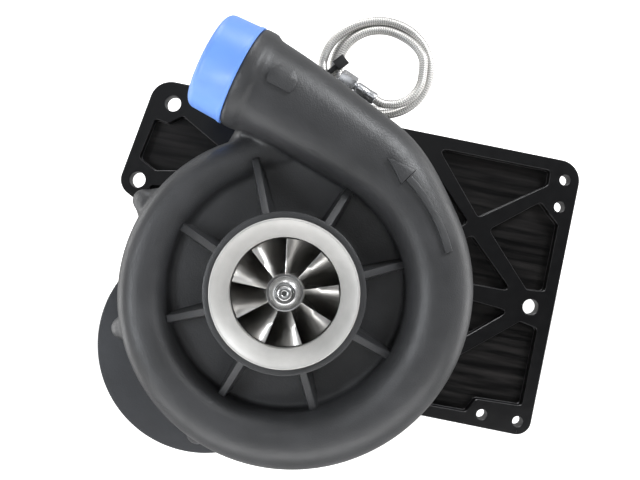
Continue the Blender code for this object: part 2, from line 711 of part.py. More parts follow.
def impeller_parts():
    spindle = axis_empty("impeller_axis", 0, 0, 0)
    made = [pinion_shaft(), impeller()]
    washer = [(IMPELLER_SHAFT + GAP, -142.3), (12.0, -142.3), (11.0, -143.8), (IMPELLER_SHAFT + GAP, -143.8)]
    made.append(lathe("impeller_washer", washer, BARE, segments=16))
    flats = circle((0, 0), 9.2, 6)
    nut = prisms("impeller_nut", [flats], -152.0, -144.1, STEEL)
    cut(nut, prisms("nut_bore", [circle((0, 0), IMPELLER_SHAFT + GAP, 20)], -156, -140))
    made.append(nut)
    parent_pieces(made, spindle)


def pinion_shaft():
    """The fast shaft: pinion teeth between two journals, and a long nose through the impeller."""
    rear, front = -19.0, -87.3
    profile = [(0, rear), (8, rear), (PINION_JOURNAL, rear - 0.5), (PINION_JOURNAL, -30)]
    profile += [(12, -30.3), (12, -64)]
    profile += [(PINION_JOURNAL, -64.3), (PINION_JOURNAL, front), (IMPELLER_SHAFT, front)]
    profile += [(IMPELLER_SHAFT, -152.8), (5.2, -153.6), (1.6, -153.6), (0, -151.5)]
    shaft = lathe("pinion_shaft", profile, STEEL, segments=16)
    teeth = prisms("pinion_teeth", [gear_outline(PINION_TEETH, DRIVE_ANGLE)], GEAR_FRONT - 1, GEAR_BACK + 1)
    join(shaft, teeth)
    return shaft


def blade(first_angle, start, points, faces):
    """A thin curved blade from the hub to the shroud line. It lags clockwise as it goes in."""
    hub = impeller_contour(HUB_RADIUS - 2, BLADE_TIP_Y, EXDUCER_RADIUS, DISC_FRONT + 1.2)
    tip = impeller_contour(EYE_RADIUS - 0.5, BLADE_TIP_Y, EXDUCER_RADIUS, OUTLET_FRONT)
    along, across = 6, 1
    first = len(points)
    half = 0.75
    for side in (-1, 1):
        for i in range(along + 1):
            share = start + (1 - start) * i / along
            place = share * (len(hub) - 1)
            k = min(int(place), len(hub) - 2)
            part = place - k
            for j in range(across + 1):
                a, b = mix(hub[k], hub[k + 1], part), mix(tip[k], tip[k + 1], part)
                radius, y = mix(a, b, j / across)
                turn = first_angle - BLADE_WRAP * (share**0.8) * (1 - 0.25 * share)
                x, z = polar(radius, turn)
                nx, nz = polar(half, turn + 90)
                points.append((x + side * nx, y + side * 0.3, z + side * nz))
    width = across + 1
    layer = (along + 1) * width
    for i in range(along):
        for j in range(across):
            a = first + i * width + j
            faces.append([a, a + 1, a + width + 1, a + width])
            faces.append([a + layer, a + layer + 1, a + layer + width + 1, a + layer + width])
    rim = [i * width for i in range(along + 1)] + [along * width + j for j in range(1, width)]
    rim += [i * width + across for i in range(along - 1, -1, -1)] + [j for j in range(across - 1, 0, -1)]
    for a, b in zip(rim, rim[1:] + rim[:1]):
        faces.append([first + a, first + b, first + b + layer, first + a + layer])


def mix(a, b, share):
    return tuple(p + (q - p) * share for p, q in zip(a, b))


def impeller():
    front = impeller_contour(HUB_RADIUS, BLADE_TIP_Y, EXDUCER_RADIUS, DISC_FRONT, 6)
    profile = [(IMPELLER_SHAFT + GAP, DISC_BACK), (IMPELLER_SHAFT + GAP, BLADE_TIP_Y - 1)]
    profile += [(HUB_RADIUS - 1, BLADE_TIP_Y - 1)]
    profile += front + [(EXDUCER_RADIUS, DISC_BACK)]
    hub = lathe("impeller", profile, BARE, segments=30)
    points, faces = [], []
    for k in range(BLADE_COUNT):
        angle = FIRST_BLADE_ANGLE + 360 / BLADE_COUNT * k
        blade(angle, 0.0, points, faces)
        blade(angle + 180 / BLADE_COUNT, SPLITTER_START, points, faces)
    join(hub, mesh_object("impeller_blades", points, faces, None))
    return hub


def ring(name, inner, outer, front, back, finish, centre=(0, 0), segments=16):
    profile = [(inner, back), (outer, back), (outer, front), (inner, front)]
    return lathe(name, profile, finish, (centre[0], 0, centre[1]), segments)


def bearings_and_seals():
    drive = (DRIVE_X, DRIVE_Z)
    inner = PINION_JOURNAL + GAP
    ring("pinion_bearing_front", inner, PINION_BEARING, -75.7, -66.0, STEEL)
    ring("pinion_bearing_rear", inner, PINION_BEARING, -29.5, -19.0, STEEL)
    ring("impeller_seal", inner, 12.0, -80.7, -76.4, RUBBER)
    ring("input_bearing_front", 9 + GAP, INPUT_BEARING, -72.7, -63.6, STEEL, drive)
    ring("input_bearing_rear", 11 + GAP, REAR_INPUT_BEARING, -25.6, -8.3, STEEL, drive)
    ring("input_seal", 11 + GAP, 17.0, -7.9, -2.6, RUBBER, drive)


# ---------------------------------------------------------------- mounting plate


def plate_xz(u, v):
    turn = math.radians(PLATE_TURN)
    return u * math.cos(turn) + v * math.sin(turn), -u * math.sin(turn) + v * math.cos(turn)


def plate_uv(x, z):
    turn = math.radians(PLATE_TURN)
    return x * math.cos(turn) - z * math.sin(turn), x * math.sin(turn) + z * math.cos(turn)


def plate_outline():
    lobe = plate_uv(DRIVE_X, DRIVE_Z)
    low = math.degrees(math.asin((PLATE_BOTTOM - lobe[1]) / LOBE_RADIUS))
    outline = arc((PLATE_RIGHT - 18.5, PLATE_TOP - 18.5), 18.5, 90, 0, 6)
    outline += arc((PLATE_RIGHT - 13, PLATE_BOTTOM + 13), 13, 0, -90, 5)
    outline += arc(lobe, LOBE_RADIUS, low, 155 - 360, 24)
    outline += [(-126, 36)]
    outline += arc((-150.5, 65), 15, -119, -188, 5)
    outline += arc((-135, 137), 19, 172, 90, 6)
    return outline


def mounting_plate():
    shape = [plate_xz(u, v) for u, v in plate_outline()]
    plate = prisms("mounting_plate", [shape], -PLATE_THICKNESS, 0, ANODISED)
    pockets = [[plate_xz(u, v) for u, v in pocket] for pocket in PLATE_POCKETS]
    cut(plate, prisms("plate_pockets", pockets, -PLATE_THICKNESS - 4, POCKET_DEPTH - PLATE_THICKNESS))
    holes = [circle(plate_xz(*centre), radius, 14) for centre, radius in PLATE_HOLES]
    holes += [circle((DRIVE_X, DRIVE_Z), PLATE_BORE, 24)] + case_holes(PLATE_BOLTS, 4.3)
    cut(plate, prisms("plate_holes", holes, -PLATE_THICKNESS - 4, 4))
    cut(plate, prisms("plate_head_seats", case_holes(PLATE_BOLTS, 7.0, 8), -9.0, 4))


# ---------------------------------------------------------------- discharge cap and oil hose


def discharge_cap():
    """A moulded cap pushed over the spigot."""
    outer, inner = BEAD_RADIUS, SPIGOT_RADIUS + GAP
    depth = SPIGOT_LENGTH + 2.2
    profile = [(0, depth), (inner, depth), (inner, GAP), (outer, GAP), (outer, 3), (outer - 0.6, 5)]
    profile += [(outer - 1.6, CAP_LENGTH - 7)]
    rounding = arc((outer - 8.1, CAP_LENGTH - 6.5), 6.5, 0, 90, 4)
    profile += rounding + [(0, CAP_LENGTH)]
    lathe("discharge_cap", profile, CAP_BLUE, (EXIT_X, EXIT_Y, EXIT_Z), 28, exit_turn())


def coil_centre():
    """The coil rests on the plate's top edge, which slopes."""
    turn = math.radians(PLATE_TURN)
    rest = PLATE_TOP + COIL_OUTER + GAP
    return COIL_X, (rest - COIL_X * math.sin(turn)) / math.cos(turn)


def catmull_rom(route, per_span):
    """Points along a smooth curve through the route's own points."""
    padded = [2 * route[0] - route[1]] + route + [2 * route[-1] - route[-2]]
    line = []
    for a, b, c, d in zip(padded, padded[1:], padded[2:], padded[3:]):
        for i in range(per_span):
            t = i / per_span
            bend = 2 * a - 5 * b + 4 * c - d
            twist = 3 * b - a - 3 * c + d
            line.append(0.5 * (2 * b + (c - a) * t + bend * t * t + twist * t**3))
    return line + [route[-1]]


def tube(name, route, per_span):
    points = catmull_rom([Vector(p) for p in route], per_span)
    curve = bpy.data.curves.new(name, "CURVE")
    curve.dimensions = "3D"
    curve.bevel_depth = HOSE_DIAMETER / 2 * MM
    curve.bevel_resolution = 2
    curve.use_fill_caps = True
    spline = curve.splines.new("POLY")
    spline.points.add(len(points) - 1)
    for place, point in zip(spline.points, points):
        place.co = (*(point * MM), 1)
    curve.materials.append(BRAID)
    made = bpy.data.objects.new(name, curve)
    bpy.context.scene.collection.objects.link(made)


def hose():
    cx, cz = coil_centre()
    section = [(COIL_INNER, COIL_BACK - 3), (COIL_INNER + 3, COIL_BACK)]
    section += [(COIL_OUTER - 3, COIL_BACK), (COIL_OUTER, COIL_BACK - 3)]
    section += [(COIL_OUTER, COIL_FRONT + 3), (COIL_OUTER - 3, COIL_FRONT)]
    section += [(COIL_INNER + 3, COIL_FRONT), (COIL_INNER, COIL_FRONT + 3)]
    lathe("oil_hose_coil", section, BRAID, (cx, 0, cz), 28)
    tube("oil_hose", hose_run(), 2)
    tube("oil_hose_tail", hose_tail(cx, cz), 3)
    hose_end(cx, cz)
    cable_tie(cx, cz)


def hose_run():
    """From the feed fitting up behind the volute, in front of the plate, to the coil's front."""
    x, y, z = FEED_AT
    return [
        (x, y, z + 24.3), (x, y, z + 34), (x + 2, y - 1, z + 46), (x + 7, y - 1, z + 60),
        (x + 14, y + 2, z + 74), (x + 19.5, y + 6, z + 88),
        (x + 22.3, y + 9.4, z + 99), (x + 23.2, y + 11.3, z + 107),
    ]


def hose_tail(cx, cz):
    """The last length: off the coil's front, round its foot and up to the crimped ferrule."""
    y = COIL_FRONT - HOSE_DIAMETER / 2 - GAP
    turns = ((350, 39.3), (338, 39.0), (322, 38.4), (307, 37.2), (293, 35.2), (284, 33.5))
    places = []
    for k, (angle, radius) in enumerate(turns):
        x, z = polar(radius, angle, (cx, cz))
        places.append((x, y - 0.7 * k, z))
    end, along = fitting_axis(cx, cz)
    places.append(tuple(end - along * 6))
    places.append(tuple(end - along * 0.3))
    return places


def fitting_axis(cx, cz):
    """Where the ferrule starts, and the way it points: up and to the left."""
    y = COIL_FRONT - HOSE_DIAMETER / 2 - GAP - 4.8
    dx, dz = polar(1, FITTING_ANGLE)
    return Vector((cx - 3.5, y, cz - 29.0)), Vector((dx, 0, dz))


def hose_end(cx, cz):
    end, along = fitting_axis(cx, cz)
    turn = Vector((0, 1, 0)).rotation_difference(along)
    ferrule = [(0, 0), (4.6, 0), (5.3, 0.8), (5.3, 19), (4.6, 20), (3.4, 20), (3.4, 32), (0, 32)]
    lathe("hose_ferrule", ferrule, STEEL, end, 14, turn)
    points, faces = prism_data(circle((0, 0), 7.9, 6), 21.5, 36.5)
    nut = mesh_object("hose_swivel_nut", points, faces, STEEL, end, turn, smooth=False)
    bore = [(0, 15), (3.7, 15), (3.7, 32.5), (5.5, 32.5), (5.5, 40), (0, 40)]
    cut(nut, lathe("swivel_nut_bore", bore, None, end, 14, turn))


def cable_tie(cx, cz):
    """A strap round the coil's strands at its left side, with the square ratchet head."""
    middle = (COIL_INNER + COIL_OUTER) / 2
    x, z = polar(middle, 180, (cx, cz))
    half_across = (COIL_OUTER - COIL_INNER) / 2 + GAP
    front, back = COIL_FRONT - GAP, COIL_BACK + GAP
    strap = box_loop("cable_tie", rectangle(half_across, front, back, TIE_WALL), 2.4, NYLON, (x, 0, z))
    cut(strap, box_loop("tie_hole", rectangle(half_across, front, back), 5, None, (x, 0, z)))
    head = [(-4, COIL_FRONT - 6.2), (4, COIL_FRONT - 6.2), (4, COIL_FRONT - 0.8), (-4, COIL_FRONT - 0.8)]
    join(strap, box_loop("tie_head", head, 3.6, None, (x + 3.0, 0, z)))


def rectangle(half, front, back, grow=0.0):
    wide = half + grow
    return [(-wide, front - grow), (wide, front - grow), (wide, back + grow), (-wide, back + grow)]


def box_loop(name, corners, half_height, finish, at):
    """A prism with (x, y) corners, upright along Z."""
    points = [(x, y, -half_height) for x, y in corners] + [(x, y, half_height) for x, y in corners]
    count = len(corners)
    faces = [list(range(count)), list(range(count, 2 * count))]
    faces += [[i, (i + 1) % count, count + (i + 1) % count, count + i] for i in range(count)]
    return mesh_object(name, points, faces, finish, at, smooth=False)


volute_housing()
backplate()
volute_screws()
backplate_screws()
gearcase_front()
gearcase_rear()
case_fasteners()
oil_fittings()
bearings_and_seals()
impeller_parts()
drive_parts()
mounting_plate()
discharge_cap()
hose()
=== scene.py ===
"""Looks of a centrifugal supercharger head unit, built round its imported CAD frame.

Metres, +Z up, inlet facing -Y. Sizes below are in millimetres and are scaled when a mesh is made.
"""

import math

import bmesh
import bpy
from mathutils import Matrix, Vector


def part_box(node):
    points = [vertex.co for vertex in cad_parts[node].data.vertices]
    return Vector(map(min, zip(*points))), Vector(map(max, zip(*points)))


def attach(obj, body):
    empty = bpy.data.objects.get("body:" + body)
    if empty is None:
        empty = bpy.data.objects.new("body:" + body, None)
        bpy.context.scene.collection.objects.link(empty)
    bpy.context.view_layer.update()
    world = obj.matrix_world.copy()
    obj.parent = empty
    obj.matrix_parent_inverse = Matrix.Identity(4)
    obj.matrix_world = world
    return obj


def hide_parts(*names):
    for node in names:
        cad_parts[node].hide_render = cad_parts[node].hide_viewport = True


MM = 0.001

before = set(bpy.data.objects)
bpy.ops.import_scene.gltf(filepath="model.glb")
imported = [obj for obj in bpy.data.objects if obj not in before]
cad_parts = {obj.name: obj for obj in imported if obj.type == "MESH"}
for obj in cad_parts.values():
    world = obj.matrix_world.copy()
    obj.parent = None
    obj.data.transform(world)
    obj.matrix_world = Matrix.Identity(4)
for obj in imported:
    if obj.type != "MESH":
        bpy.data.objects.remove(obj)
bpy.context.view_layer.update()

# Driving dimensions, as in the CAD
CENTRE_DISTANCE = 82.0
DRIVE_ANGLE = 214.5
DRIVE_X = CENTRE_DISTANCE * math.cos(math.radians(DRIVE_ANGLE))
DRIVE_Z = CENTRE_DISTANCE * math.sin(math.radians(DRIVE_ANGLE))
DRIVE = (DRIVE_X, DRIVE_Z)
DRIVE_AT = (DRIVE_X, 0, DRIVE_Z)
VOLUTE_BACK = -84.0
FLANGE_FRONT = -95.0
FLOOR_Y = -110.0
COLLAR_FRONT = -155.0
INLET_FACE = -160.0
INLET_RADIUS = 42.3
INLET_OUTER = 56.3
COLLAR_RADIUS = 61.5
FLOOR_RADIUS = 93.0
SCROLL_WALL = 4.2
TONGUE_ANGLE = 112.0
TIP_ANGLE = 91.3
SCROLL_END_ANGLE = 416.0
SCREW_CIRCLE = 136.0
BOSS_RADIUS = 9.0
FIRST_RIB_ANGLE = 13.0
RIB_COUNT = 8
EXIT_AT = (-32.9, -119.0, 167.7)
EXIT_ANGLE = 153.0
PIPE_RADIUS = 38.8
BEAD_RADIUS = 41.0
BEAD_LENGTH = 12.6
SPIGOT_RADIUS = 38.1
SPIGOT_LENGTH = 26.0
BORE_RADIUS = 34.5
CAP_LENGTH = 31.0
EYE_RADIUS = 41.6
EXDUCER_RADIUS = 63.0
HUB_RADIUS = 14.8
BLADE_TIP_Y = -141.0
OUTLET_FRONT = -94.6
BLADE_COUNT = 9
FIRST_BLADE_ANGLE = 8.0
BLADE_WRAP = 62.0
PLATE_TURN = 11.4
PLATE_THICKNESS = 16.0
CASE_RADIUS = 89.5
CASE_LOBE_RADIUS = 62.0
HOSE_DIAMETER = 7.9
FEED_AT = (12.0, -31.0, 58.0)
FITTING_ANGLE = 147.0


# ---- small tools


def polar(radius, degrees, centre=(0.0, 0.0)):
    turn = math.radians(degrees)
    return centre[0] + radius * math.cos(turn), centre[1] + radius * math.sin(turn)


def arc(centre, radius, start, end, steps):
    return [polar(radius, start + (end - start) * i / steps, centre) for i in range(steps + 1)]


def circle(centre, radius, steps=48):
    return [polar(radius, 360 * i / steps, centre) for i in range(steps)]


def smoothstep(value):
    value = min(max(value, 0.0), 1.0)
    return value * value * (3 - 2 * value)


def mix(a, b, share):
    return tuple(p + (q - p) * share for p, q in zip(a, b))


def turn_to(direction):
    """The rotation that takes a lathe's own axis (+Y) to a direction."""
    return Vector((0, 1, 0)).rotation_difference(Vector(direction)).to_matrix()


def in_plane(degrees):
    x, z = polar(1, degrees)
    return x, 0, z


UP, DOWN = turn_to((0, 0, 1)), turn_to((0, 0, -1))
EXIT_TURN = turn_to(in_plane(EXIT_ANGLE))


def mesh_piece(name, points, faces, finish=None, at=(0, 0, 0), turn=None, sharp=35):
    """A closed mesh in the row frame, faces outwards. Points are millimetres from `at`."""
    placed = [Vector(p) for p in points]
    if turn:
        placed = [turn @ p for p in placed]
    mesh = bpy.data.meshes.new(name)
    mesh.from_pydata([(p + Vector(at)) * MM for p in placed], [], faces)
    shape = bmesh.new()
    shape.from_mesh(mesh)
    bmesh.ops.recalc_face_normals(shape, faces=shape.faces)
    if shape.calc_volume(signed=True) < 0:
        bmesh.ops.reverse_faces(shape, faces=shape.faces)
    shape.to_mesh(mesh)
    shape.free()
    mesh.shade_smooth()
    mesh.set_sharp_from_angle(angle=math.radians(sharp))
    made = bpy.data.objects.new(name, mesh)
    bpy.context.scene.collection.objects.link(made)
    if finish:
        mesh.materials.append(finish)
    return made


def lathe_data(profile, segments):
    points, rings = [], []
    for radius, y in profile:
        if radius == 0:
            rings.append([len(points)] * segments)
            points.append((0, y, 0))
            continue
        rings.append(list(range(len(points), len(points) + segments)))
        for i in range(segments):
            turn = 2 * math.pi * i / segments
            points.append((radius * math.cos(turn), y, radius * math.sin(turn)))
    faces = []
    for first, second in zip(rings, rings[1:] + rings[:1]):
        for i in range(segments):
            j = (i + 1) % segments
            corners = list(dict.fromkeys((first[i], first[j], second[j], second[i])))
            if len(corners) > 2:
                faces.append(corners)
    return points, faces


def lathe(name, profile, finish=None, at=(0, 0, 0), segments=96, turn=None, sharp=35):
    points, faces = lathe_data(profile, segments)
    return mesh_piece(name, points, faces, finish, at, turn, sharp)


def prisms(name, outlines, front, back, finish=None, at=(0, 0, 0), turn=None):
    """One mesh that holds a prism along Y for each (x, z) outline."""
    points, faces = [], []
    for outline in outlines:
        first, count = len(points), len(outline)
        points += [(x, front, z) for x, z in outline] + [(x, back, z) for x, z in outline]
        faces += [[first + i for i in range(count)], [first + count + i for i in range(count)]]
        for i in range(count):
            j = (i + 1) % count
            faces.append([first + i, first + j, first + count + j, first + count + i])
    return mesh_piece(name, points, faces, finish, at, turn)


def bar(centre, radius, front, back, steps=48):
    """A round bar along Y, to cut a bore with."""
    return prisms("bar", [circle(centre, radius, steps)], front, back)


def tube_faces(rings, sides, first=0):
    """Quads round a run of equal rings of points, with a cap at each end."""
    faces = []
    for k in range(rings - 1):
        a = first + k * sides
        b = a + sides
        for i in range(sides):
            j = (i + 1) % sides
            faces.append([a + i, a + j, b + j, b + i])
    ends = first, first + (rings - 1) * sides
    return faces + [list(range(end, end + sides)) for end in ends]


def pad_faces(along, across, first=0):
    """A closed pad: a lower and an upper grid of points, joined round their rim."""
    width = across + 1
    layer = (along + 1) * width
    faces = []
    for i in range(along):
        for j in range(across):
            for a in (first + i * width + j, first + layer + i * width + j):
                faces.append([a, a + 1, a + width + 1, a + width])
    rim = [i * width for i in range(along + 1)] + [along * width + j for j in range(1, width)]
    rim += [i * width + across for i in range(along - 1, -1, -1)] + list(range(across - 1, 0, -1))
    for a, b in zip(rim, rim[1:] + rim[:1]):
        faces.append([first + a, first + b, first + b + layer, first + a + layer])
    return faces


def bake_modifiers(obj):
    """Replaces the mesh by what its modifiers make of it."""
    graph = bpy.context.evaluated_depsgraph_get()
    mesh = bpy.data.meshes.new_from_object(obj.evaluated_get(graph), depsgraph=graph)
    old = obj.data
    obj.modifiers.clear()
    obj.data = mesh
    if old.users == 0:
        bpy.data.meshes.remove(old)


def combine(target, others, operation):
    for other in others:
        step = target.modifiers.new("boolean", "BOOLEAN")
        step.operation = operation
        step.solver = "EXACT"
        step.object = other
    bake_modifiers(target)
    for other in others:
        bpy.data.objects.remove(other)
    return target


def merge_objects(name, parts):
    """One mesh from several, which may overlap."""
    whole = bmesh.new()
    for part in parts:
        whole.from_mesh(part.data)
    mesh = bpy.data.meshes.new(name)
    whole.to_mesh(mesh)
    whole.free()
    for part in parts:
        bpy.data.objects.remove(part)
    made = bpy.data.objects.new(name, mesh)
    bpy.context.scene.collection.objects.link(made)
    return made


def finish_mesh(obj, finish, sharp=35):
    obj.data.materials.clear()
    obj.data.materials.append(finish)
    obj.data.shade_smooth()
    obj.data.set_sharp_from_angle(angle=math.radians(sharp))


def soften_edges(obj, width, segments=2, angle=40):
    step = obj.modifiers.new("edges", "BEVEL")
    step.width = width * MM
    step.segments = segments
    step.limit_method = "ANGLE"
    step.angle_limit = math.radians(angle)
    step.use_clamp_overlap = True
    bake_modifiers(obj)


def settle(obj, body, slot, *nodes, finish=None, sharp=35):
    """Puts a piece on its body, gives it the finish if one is passed and hides the CAD nodes it stands for;
    the slot is not used.
    """
    if finish:
        finish_mesh(obj, finish, sharp)
    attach(obj, body)
    if nodes:
        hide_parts(*nodes)
    return obj


# ---- materials


class Finish:
    """A Principled material that is built up node by node."""

    def __init__(self, name, colour, roughness, metallic=0.0, **sockets):
        self.material = bpy.data.materials.new(name)
        self.material.use_nodes = True
        self.tree = self.material.node_tree
        self.shader = self.tree.nodes["Principled BSDF"]
        self.set(self.shader, "Base Color", (*colour, 1))
        self.set(self.shader, "Roughness", roughness)
        self.set(self.shader, "Metallic", metallic)
        for key, value in sockets.items():
            self.set(self.shader, key.replace("_", " "), value)
        self.place = self.node("ShaderNodeTexCoord").outputs["Object"]
        self.height = None

    def node(self, kind, **settings):
        made = self.tree.nodes.new(kind)
        for key, value in settings.items():
            setattr(made, key, value)
        return made

    def set(self, node, socket, value):
        node.inputs[socket].default_value = value

    def link(self, output, socket):
        self.tree.links.new(output, socket)

    def math(self, operation, first, second=None):
        made = self.node("ShaderNodeMath", operation=operation)
        for socket, value in zip(made.inputs, (first, second)):
            if isinstance(value, (int, float)):
                socket.default_value = value
            elif value is not None:
                self.link(value, socket)
        return made.outputs[0]

    def stretched(self, size, turn=(0, 0, 0)):
        """Coordinates for a pattern that is this many times as long along each axis."""
        made = self.node("ShaderNodeMapping", vector_type="TEXTURE")
        made.inputs["Scale"].default_value = size
        made.inputs["Rotation"].default_value = turn
        self.link(self.place, made.inputs["Vector"])
        return made.outputs["Vector"]

    def noise(self, scale, detail=3.0, roughness=0.55, place=None, distortion=0.0):
        made = self.node("ShaderNodeTexNoise")
        settings = {"Scale": scale, "Detail": detail, "Roughness": roughness, "Distortion": distortion}
        for socket, value in settings.items():
            self.set(made, socket, value)
        self.link(place or self.place, made.inputs["Vector"])
        return made.outputs["Fac"]

    def ramp(self, value, stops):
        made = self.node("ShaderNodeValToRGB")
        elements = made.color_ramp.elements
        elements[0].position, elements[1].position = stops[0][0], stops[-1][0]
        for position, _ in stops[1:-1]:
            elements.new(position)
        for element, (_, colour) in zip(elements, stops):
            element.color = (*colour, 1)
        self.link(value, made.inputs["Fac"])
        return made.outputs["Color"]

    def tint(self, value, low, high, start=0.3, end=0.7):
        """Colour that drifts between two shades with a pattern."""
        self.link(self.ramp(value, [(start, low), (end, high)]), self.shader.inputs["Base Color"])

    def gloss(self, value, low, high, start=0.3, end=0.7):
        """Roughness that varies with a pattern."""
        stops = [(start, (low,) * 3), (end, (high,) * 3)]
        self.link(self.ramp(value, stops), self.shader.inputs["Roughness"])

    def bump(self, value, strength, distance):
        made = self.node("ShaderNodeBump")
        self.set(made, "Strength", strength)
        self.set(made, "Distance", distance)
        self.link(value, made.inputs["Height"])
        if self.height:
            self.link(self.height, made.inputs["Normal"])
        self.height = made.outputs["Normal"]
        self.link(self.height, self.shader.inputs["Normal"])

    def axis_radius(self):
        """Distance from the impeller's axis."""
        parts = self.node("ShaderNodeSeparateXYZ")
        self.link(self.place, parts.inputs[0])
        x, z = parts.outputs["X"], parts.outputs["Z"]
        return self.math("SQRT", self.math("ADD", self.math("MULTIPLY", x, x), self.math("MULTIPLY", z, z)))


def coated_casting():
    """Charcoal satin powder coat with a fine orange-peel grain."""
    f = Finish("coated_casting", (0.034, 0.035, 0.037), 0.4, Specular_IOR_Level=0.5)
    f.tint(f.noise(28, 4), (0.02, 0.0205, 0.0215), (0.03, 0.0305, 0.0325))
    f.gloss(f.noise(70, 3), 0.34, 0.45)
    f.bump(f.noise(850, 2), 0.4, 0.0005)
    f.bump(f.noise(1900, 2), 0.35, 0.00025)
    return f.material


def grey_case():
    """Slate-grey painted gear case."""
    f = Finish("grey_case", (0.018, 0.0195, 0.0225), 0.5, Specular_IOR_Level=0.35)
    f.tint(f.noise(35, 4), (0.014, 0.0152, 0.018), (0.02, 0.0215, 0.025))
    f.gloss(f.noise(90, 3), 0.42, 0.56)
    f.bump(f.noise(900, 3), 0.4, 0.0004)
    return f.material


def turned_metal(name, low, high, colour, metallic=1.0, line=2600.0):
    """Bare metal with fine tool lines concentric with the inlet."""
    f = Finish(name, colour, low, metallic)
    rings = f.node("ShaderNodeTexNoise", noise_dimensions="1D")
    f.set(rings, "Scale", line)
    f.set(rings, "Detail", 3.0)
    f.link(f.axis_radius(), rings.inputs["W"])
    f.gloss(rings.outputs["Fac"], low, high)
    f.tint(f.noise(60, 4), [0.86 * c for c in colour], colour)
    f.bump(rings.outputs["Fac"], 0.12, 0.0003)
    f.bump(f.noise(900, 2), 0.05, 0.0002)
    return f.material


def polished_blades():
    """The milled impeller: bright, with faint cutter marks along the flow."""
    f = Finish("polished_aluminium", (0.78, 0.765, 0.74), 0.3, 1.0)
    f.gloss(f.noise(160, 2, place=f.stretched((1, 4, 1))), 0.3, 0.4)
    f.bump(f.noise(420, 1), 0.02, 0.0002)
    return f.material


def anodised_plate():
    """Black anodised billet with long wavy milling lines."""
    turn = (0, math.radians(PLATE_TURN), 0)
    f = Finish("black_anodised", (0.003, 0.003, 0.0033), 0.36, 0.0, Specular_IOR_Level=0.22)
    lines = f.noise(44, 5, 0.6, place=f.stretched((4, 1, 0.25), turn), distortion=0.3)
    fine = f.noise(900, 2, place=f.stretched((12, 1, 1), turn))
    f.tint(lines, (0.0008, 0.0008, 0.0009), (0.0105, 0.0094, 0.009), 0.4, 0.66)
    f.gloss(lines, 0.28, 0.5)
    f.bump(lines, 0.35, 0.0006)
    f.bump(fine, 0.15, 0.0002)
    return f.material


def blue_plastic():
    """A moulded shipping cap: light blue, semi-matte, slightly translucent."""
    f = Finish("blue_plastic", (0.115, 0.245, 0.62), 0.36, Subsurface_Weight=0.12, Subsurface_Scale=0.004)
    f.set(f.shader, "Subsurface Radius", (0.3, 0.5, 1.0))
    f.tint(f.noise(18, 3), (0.105, 0.225, 0.58), (0.125, 0.26, 0.66))
    f.gloss(f.noise(120, 3), 0.32, 0.45)
    f.bump(f.noise(260, 2), 0.08, 0.0005)
    return f.material


def steel(name, colour, low, high, metallic=1.0, scale=500.0):
    f = Finish(name, colour, low, metallic)
    wear = f.noise(scale, 3)
    f.gloss(wear, low, high)
    f.tint(f.noise(90, 3), [0.85 * c for c in colour], colour)
    f.bump(wear, 0.02, 0.0002)
    return f.material


def braid_finish():
    """Woven stainless wire whose colour carries painted light: painted shade darkens the gaps between strands
    and a painted highlight brightens the crowns where a strand passes over.
    """
    f = Finish("hose_braid", (0.66, 0.65, 0.64), 0.3, 0.75)
    weave = f.node("ShaderNodeAttribute", attribute_name="braid_height").outputs["Fac"]
    # Painted light by weave height: dark painted shade in the gaps, a bright painted highlight on the strand
    # crowns.
    gap_shade_crown_highlight = [(0.0, (0.12, 0.115, 0.11)), (0.45, (0.62, 0.61, 0.59)), (1.0, (0.9, 0.89, 0.87))]
    f.link(f.ramp(weave, gap_shade_crown_highlight), f.shader.inputs["Base Color"])
    f.gloss(weave, 0.5, 0.3, 0.1, 0.9)
    f.bump(f.noise(2500, 2), 0.2, 0.0003)
    return f.material


def plain(name, colour, sheen, grain, metallic=0.0, **sockets):
    """One colour. Sheen is the scale, detail and limits of its roughness; grain is its bump."""
    scale, detail, low, high = sheen
    f = Finish(name, colour, low, metallic, **sockets)
    f.gloss(f.noise(scale, detail), low, high)
    scale, detail, strength, distance = grain
    f.bump(f.noise(scale, detail), strength, distance)
    return f.material


COATED = coated_casting()
GREY = grey_case()
RING = turned_metal("machined_aluminium", 0.5, 0.62, (0.48, 0.473, 0.46), 0.6)
NOSE = turned_metal("turned_steel", 0.24, 0.34, (0.62, 0.62, 0.62), 1.0, 3500.0)
BLADES = polished_blades()
ANODISED = anodised_plate()
PLATE_FACE = plain(
    "anodised_face", (0.0025, 0.0025, 0.003), (120, 3, 0.3, 0.38), (1200, 2, 0.1, 0.0002),
    Specular_IOR_Level=0.3,
)
PLATE_EDGE = steel("anodised_edge", (0.11, 0.11, 0.113), 0.32, 0.42)
PULLEY = plain("black_pulley", (0.013, 0.013, 0.014), (300, 3, 0.26, 0.4), (1400, 2, 0.08, 0.0002), 0.2)
BLUE = blue_plastic()
PLATED = steel("plated_steel", (0.5, 0.5, 0.5), 0.25, 0.4)
BRIGHT = steel("polished_steel", (0.66, 0.67, 0.69), 0.25, 0.3, scale=120.0)
GROUND = steel("gear_steel", (0.5, 0.5, 0.5), 0.28, 0.42)
BEARING = steel("bearing_steel", (0.6, 0.6, 0.61), 0.2, 0.32)
BLACKED = steel("black_steel", (0.035, 0.035, 0.037), 0.32, 0.5, 0.6)
BRAID = braid_finish()
NYLON = plain("black_nylon", (0.012, 0.012, 0.013), (400, 2, 0.34, 0.48), (800, 2, 0.1, 0.0003))
SEAL = plain("seal_rubber", (0.018, 0.018, 0.018), (300, 3, 0.58, 0.75), (900, 3, 0.15, 0.0003))


# ---- stage, camera and light


INLET_DISTANCE = 0.74  # from the camera to the inlet's face
LENS_FOCAL = 56.25
CAMERA_X, CAMERA_Z = 0.0266, 0.040
FLOOR_Z = -0.32
ROOM_RADIUS = 6
FLOOR_GLOW, BACKDROP_GLOW = 0.75, 1.2
FRONT_SKY, SIDE_SKY = 0.09, 0.6
FRONT_EDGE, SIDE_EDGE = -0.92, -0.3  # how far forward a direction points where the sky dims


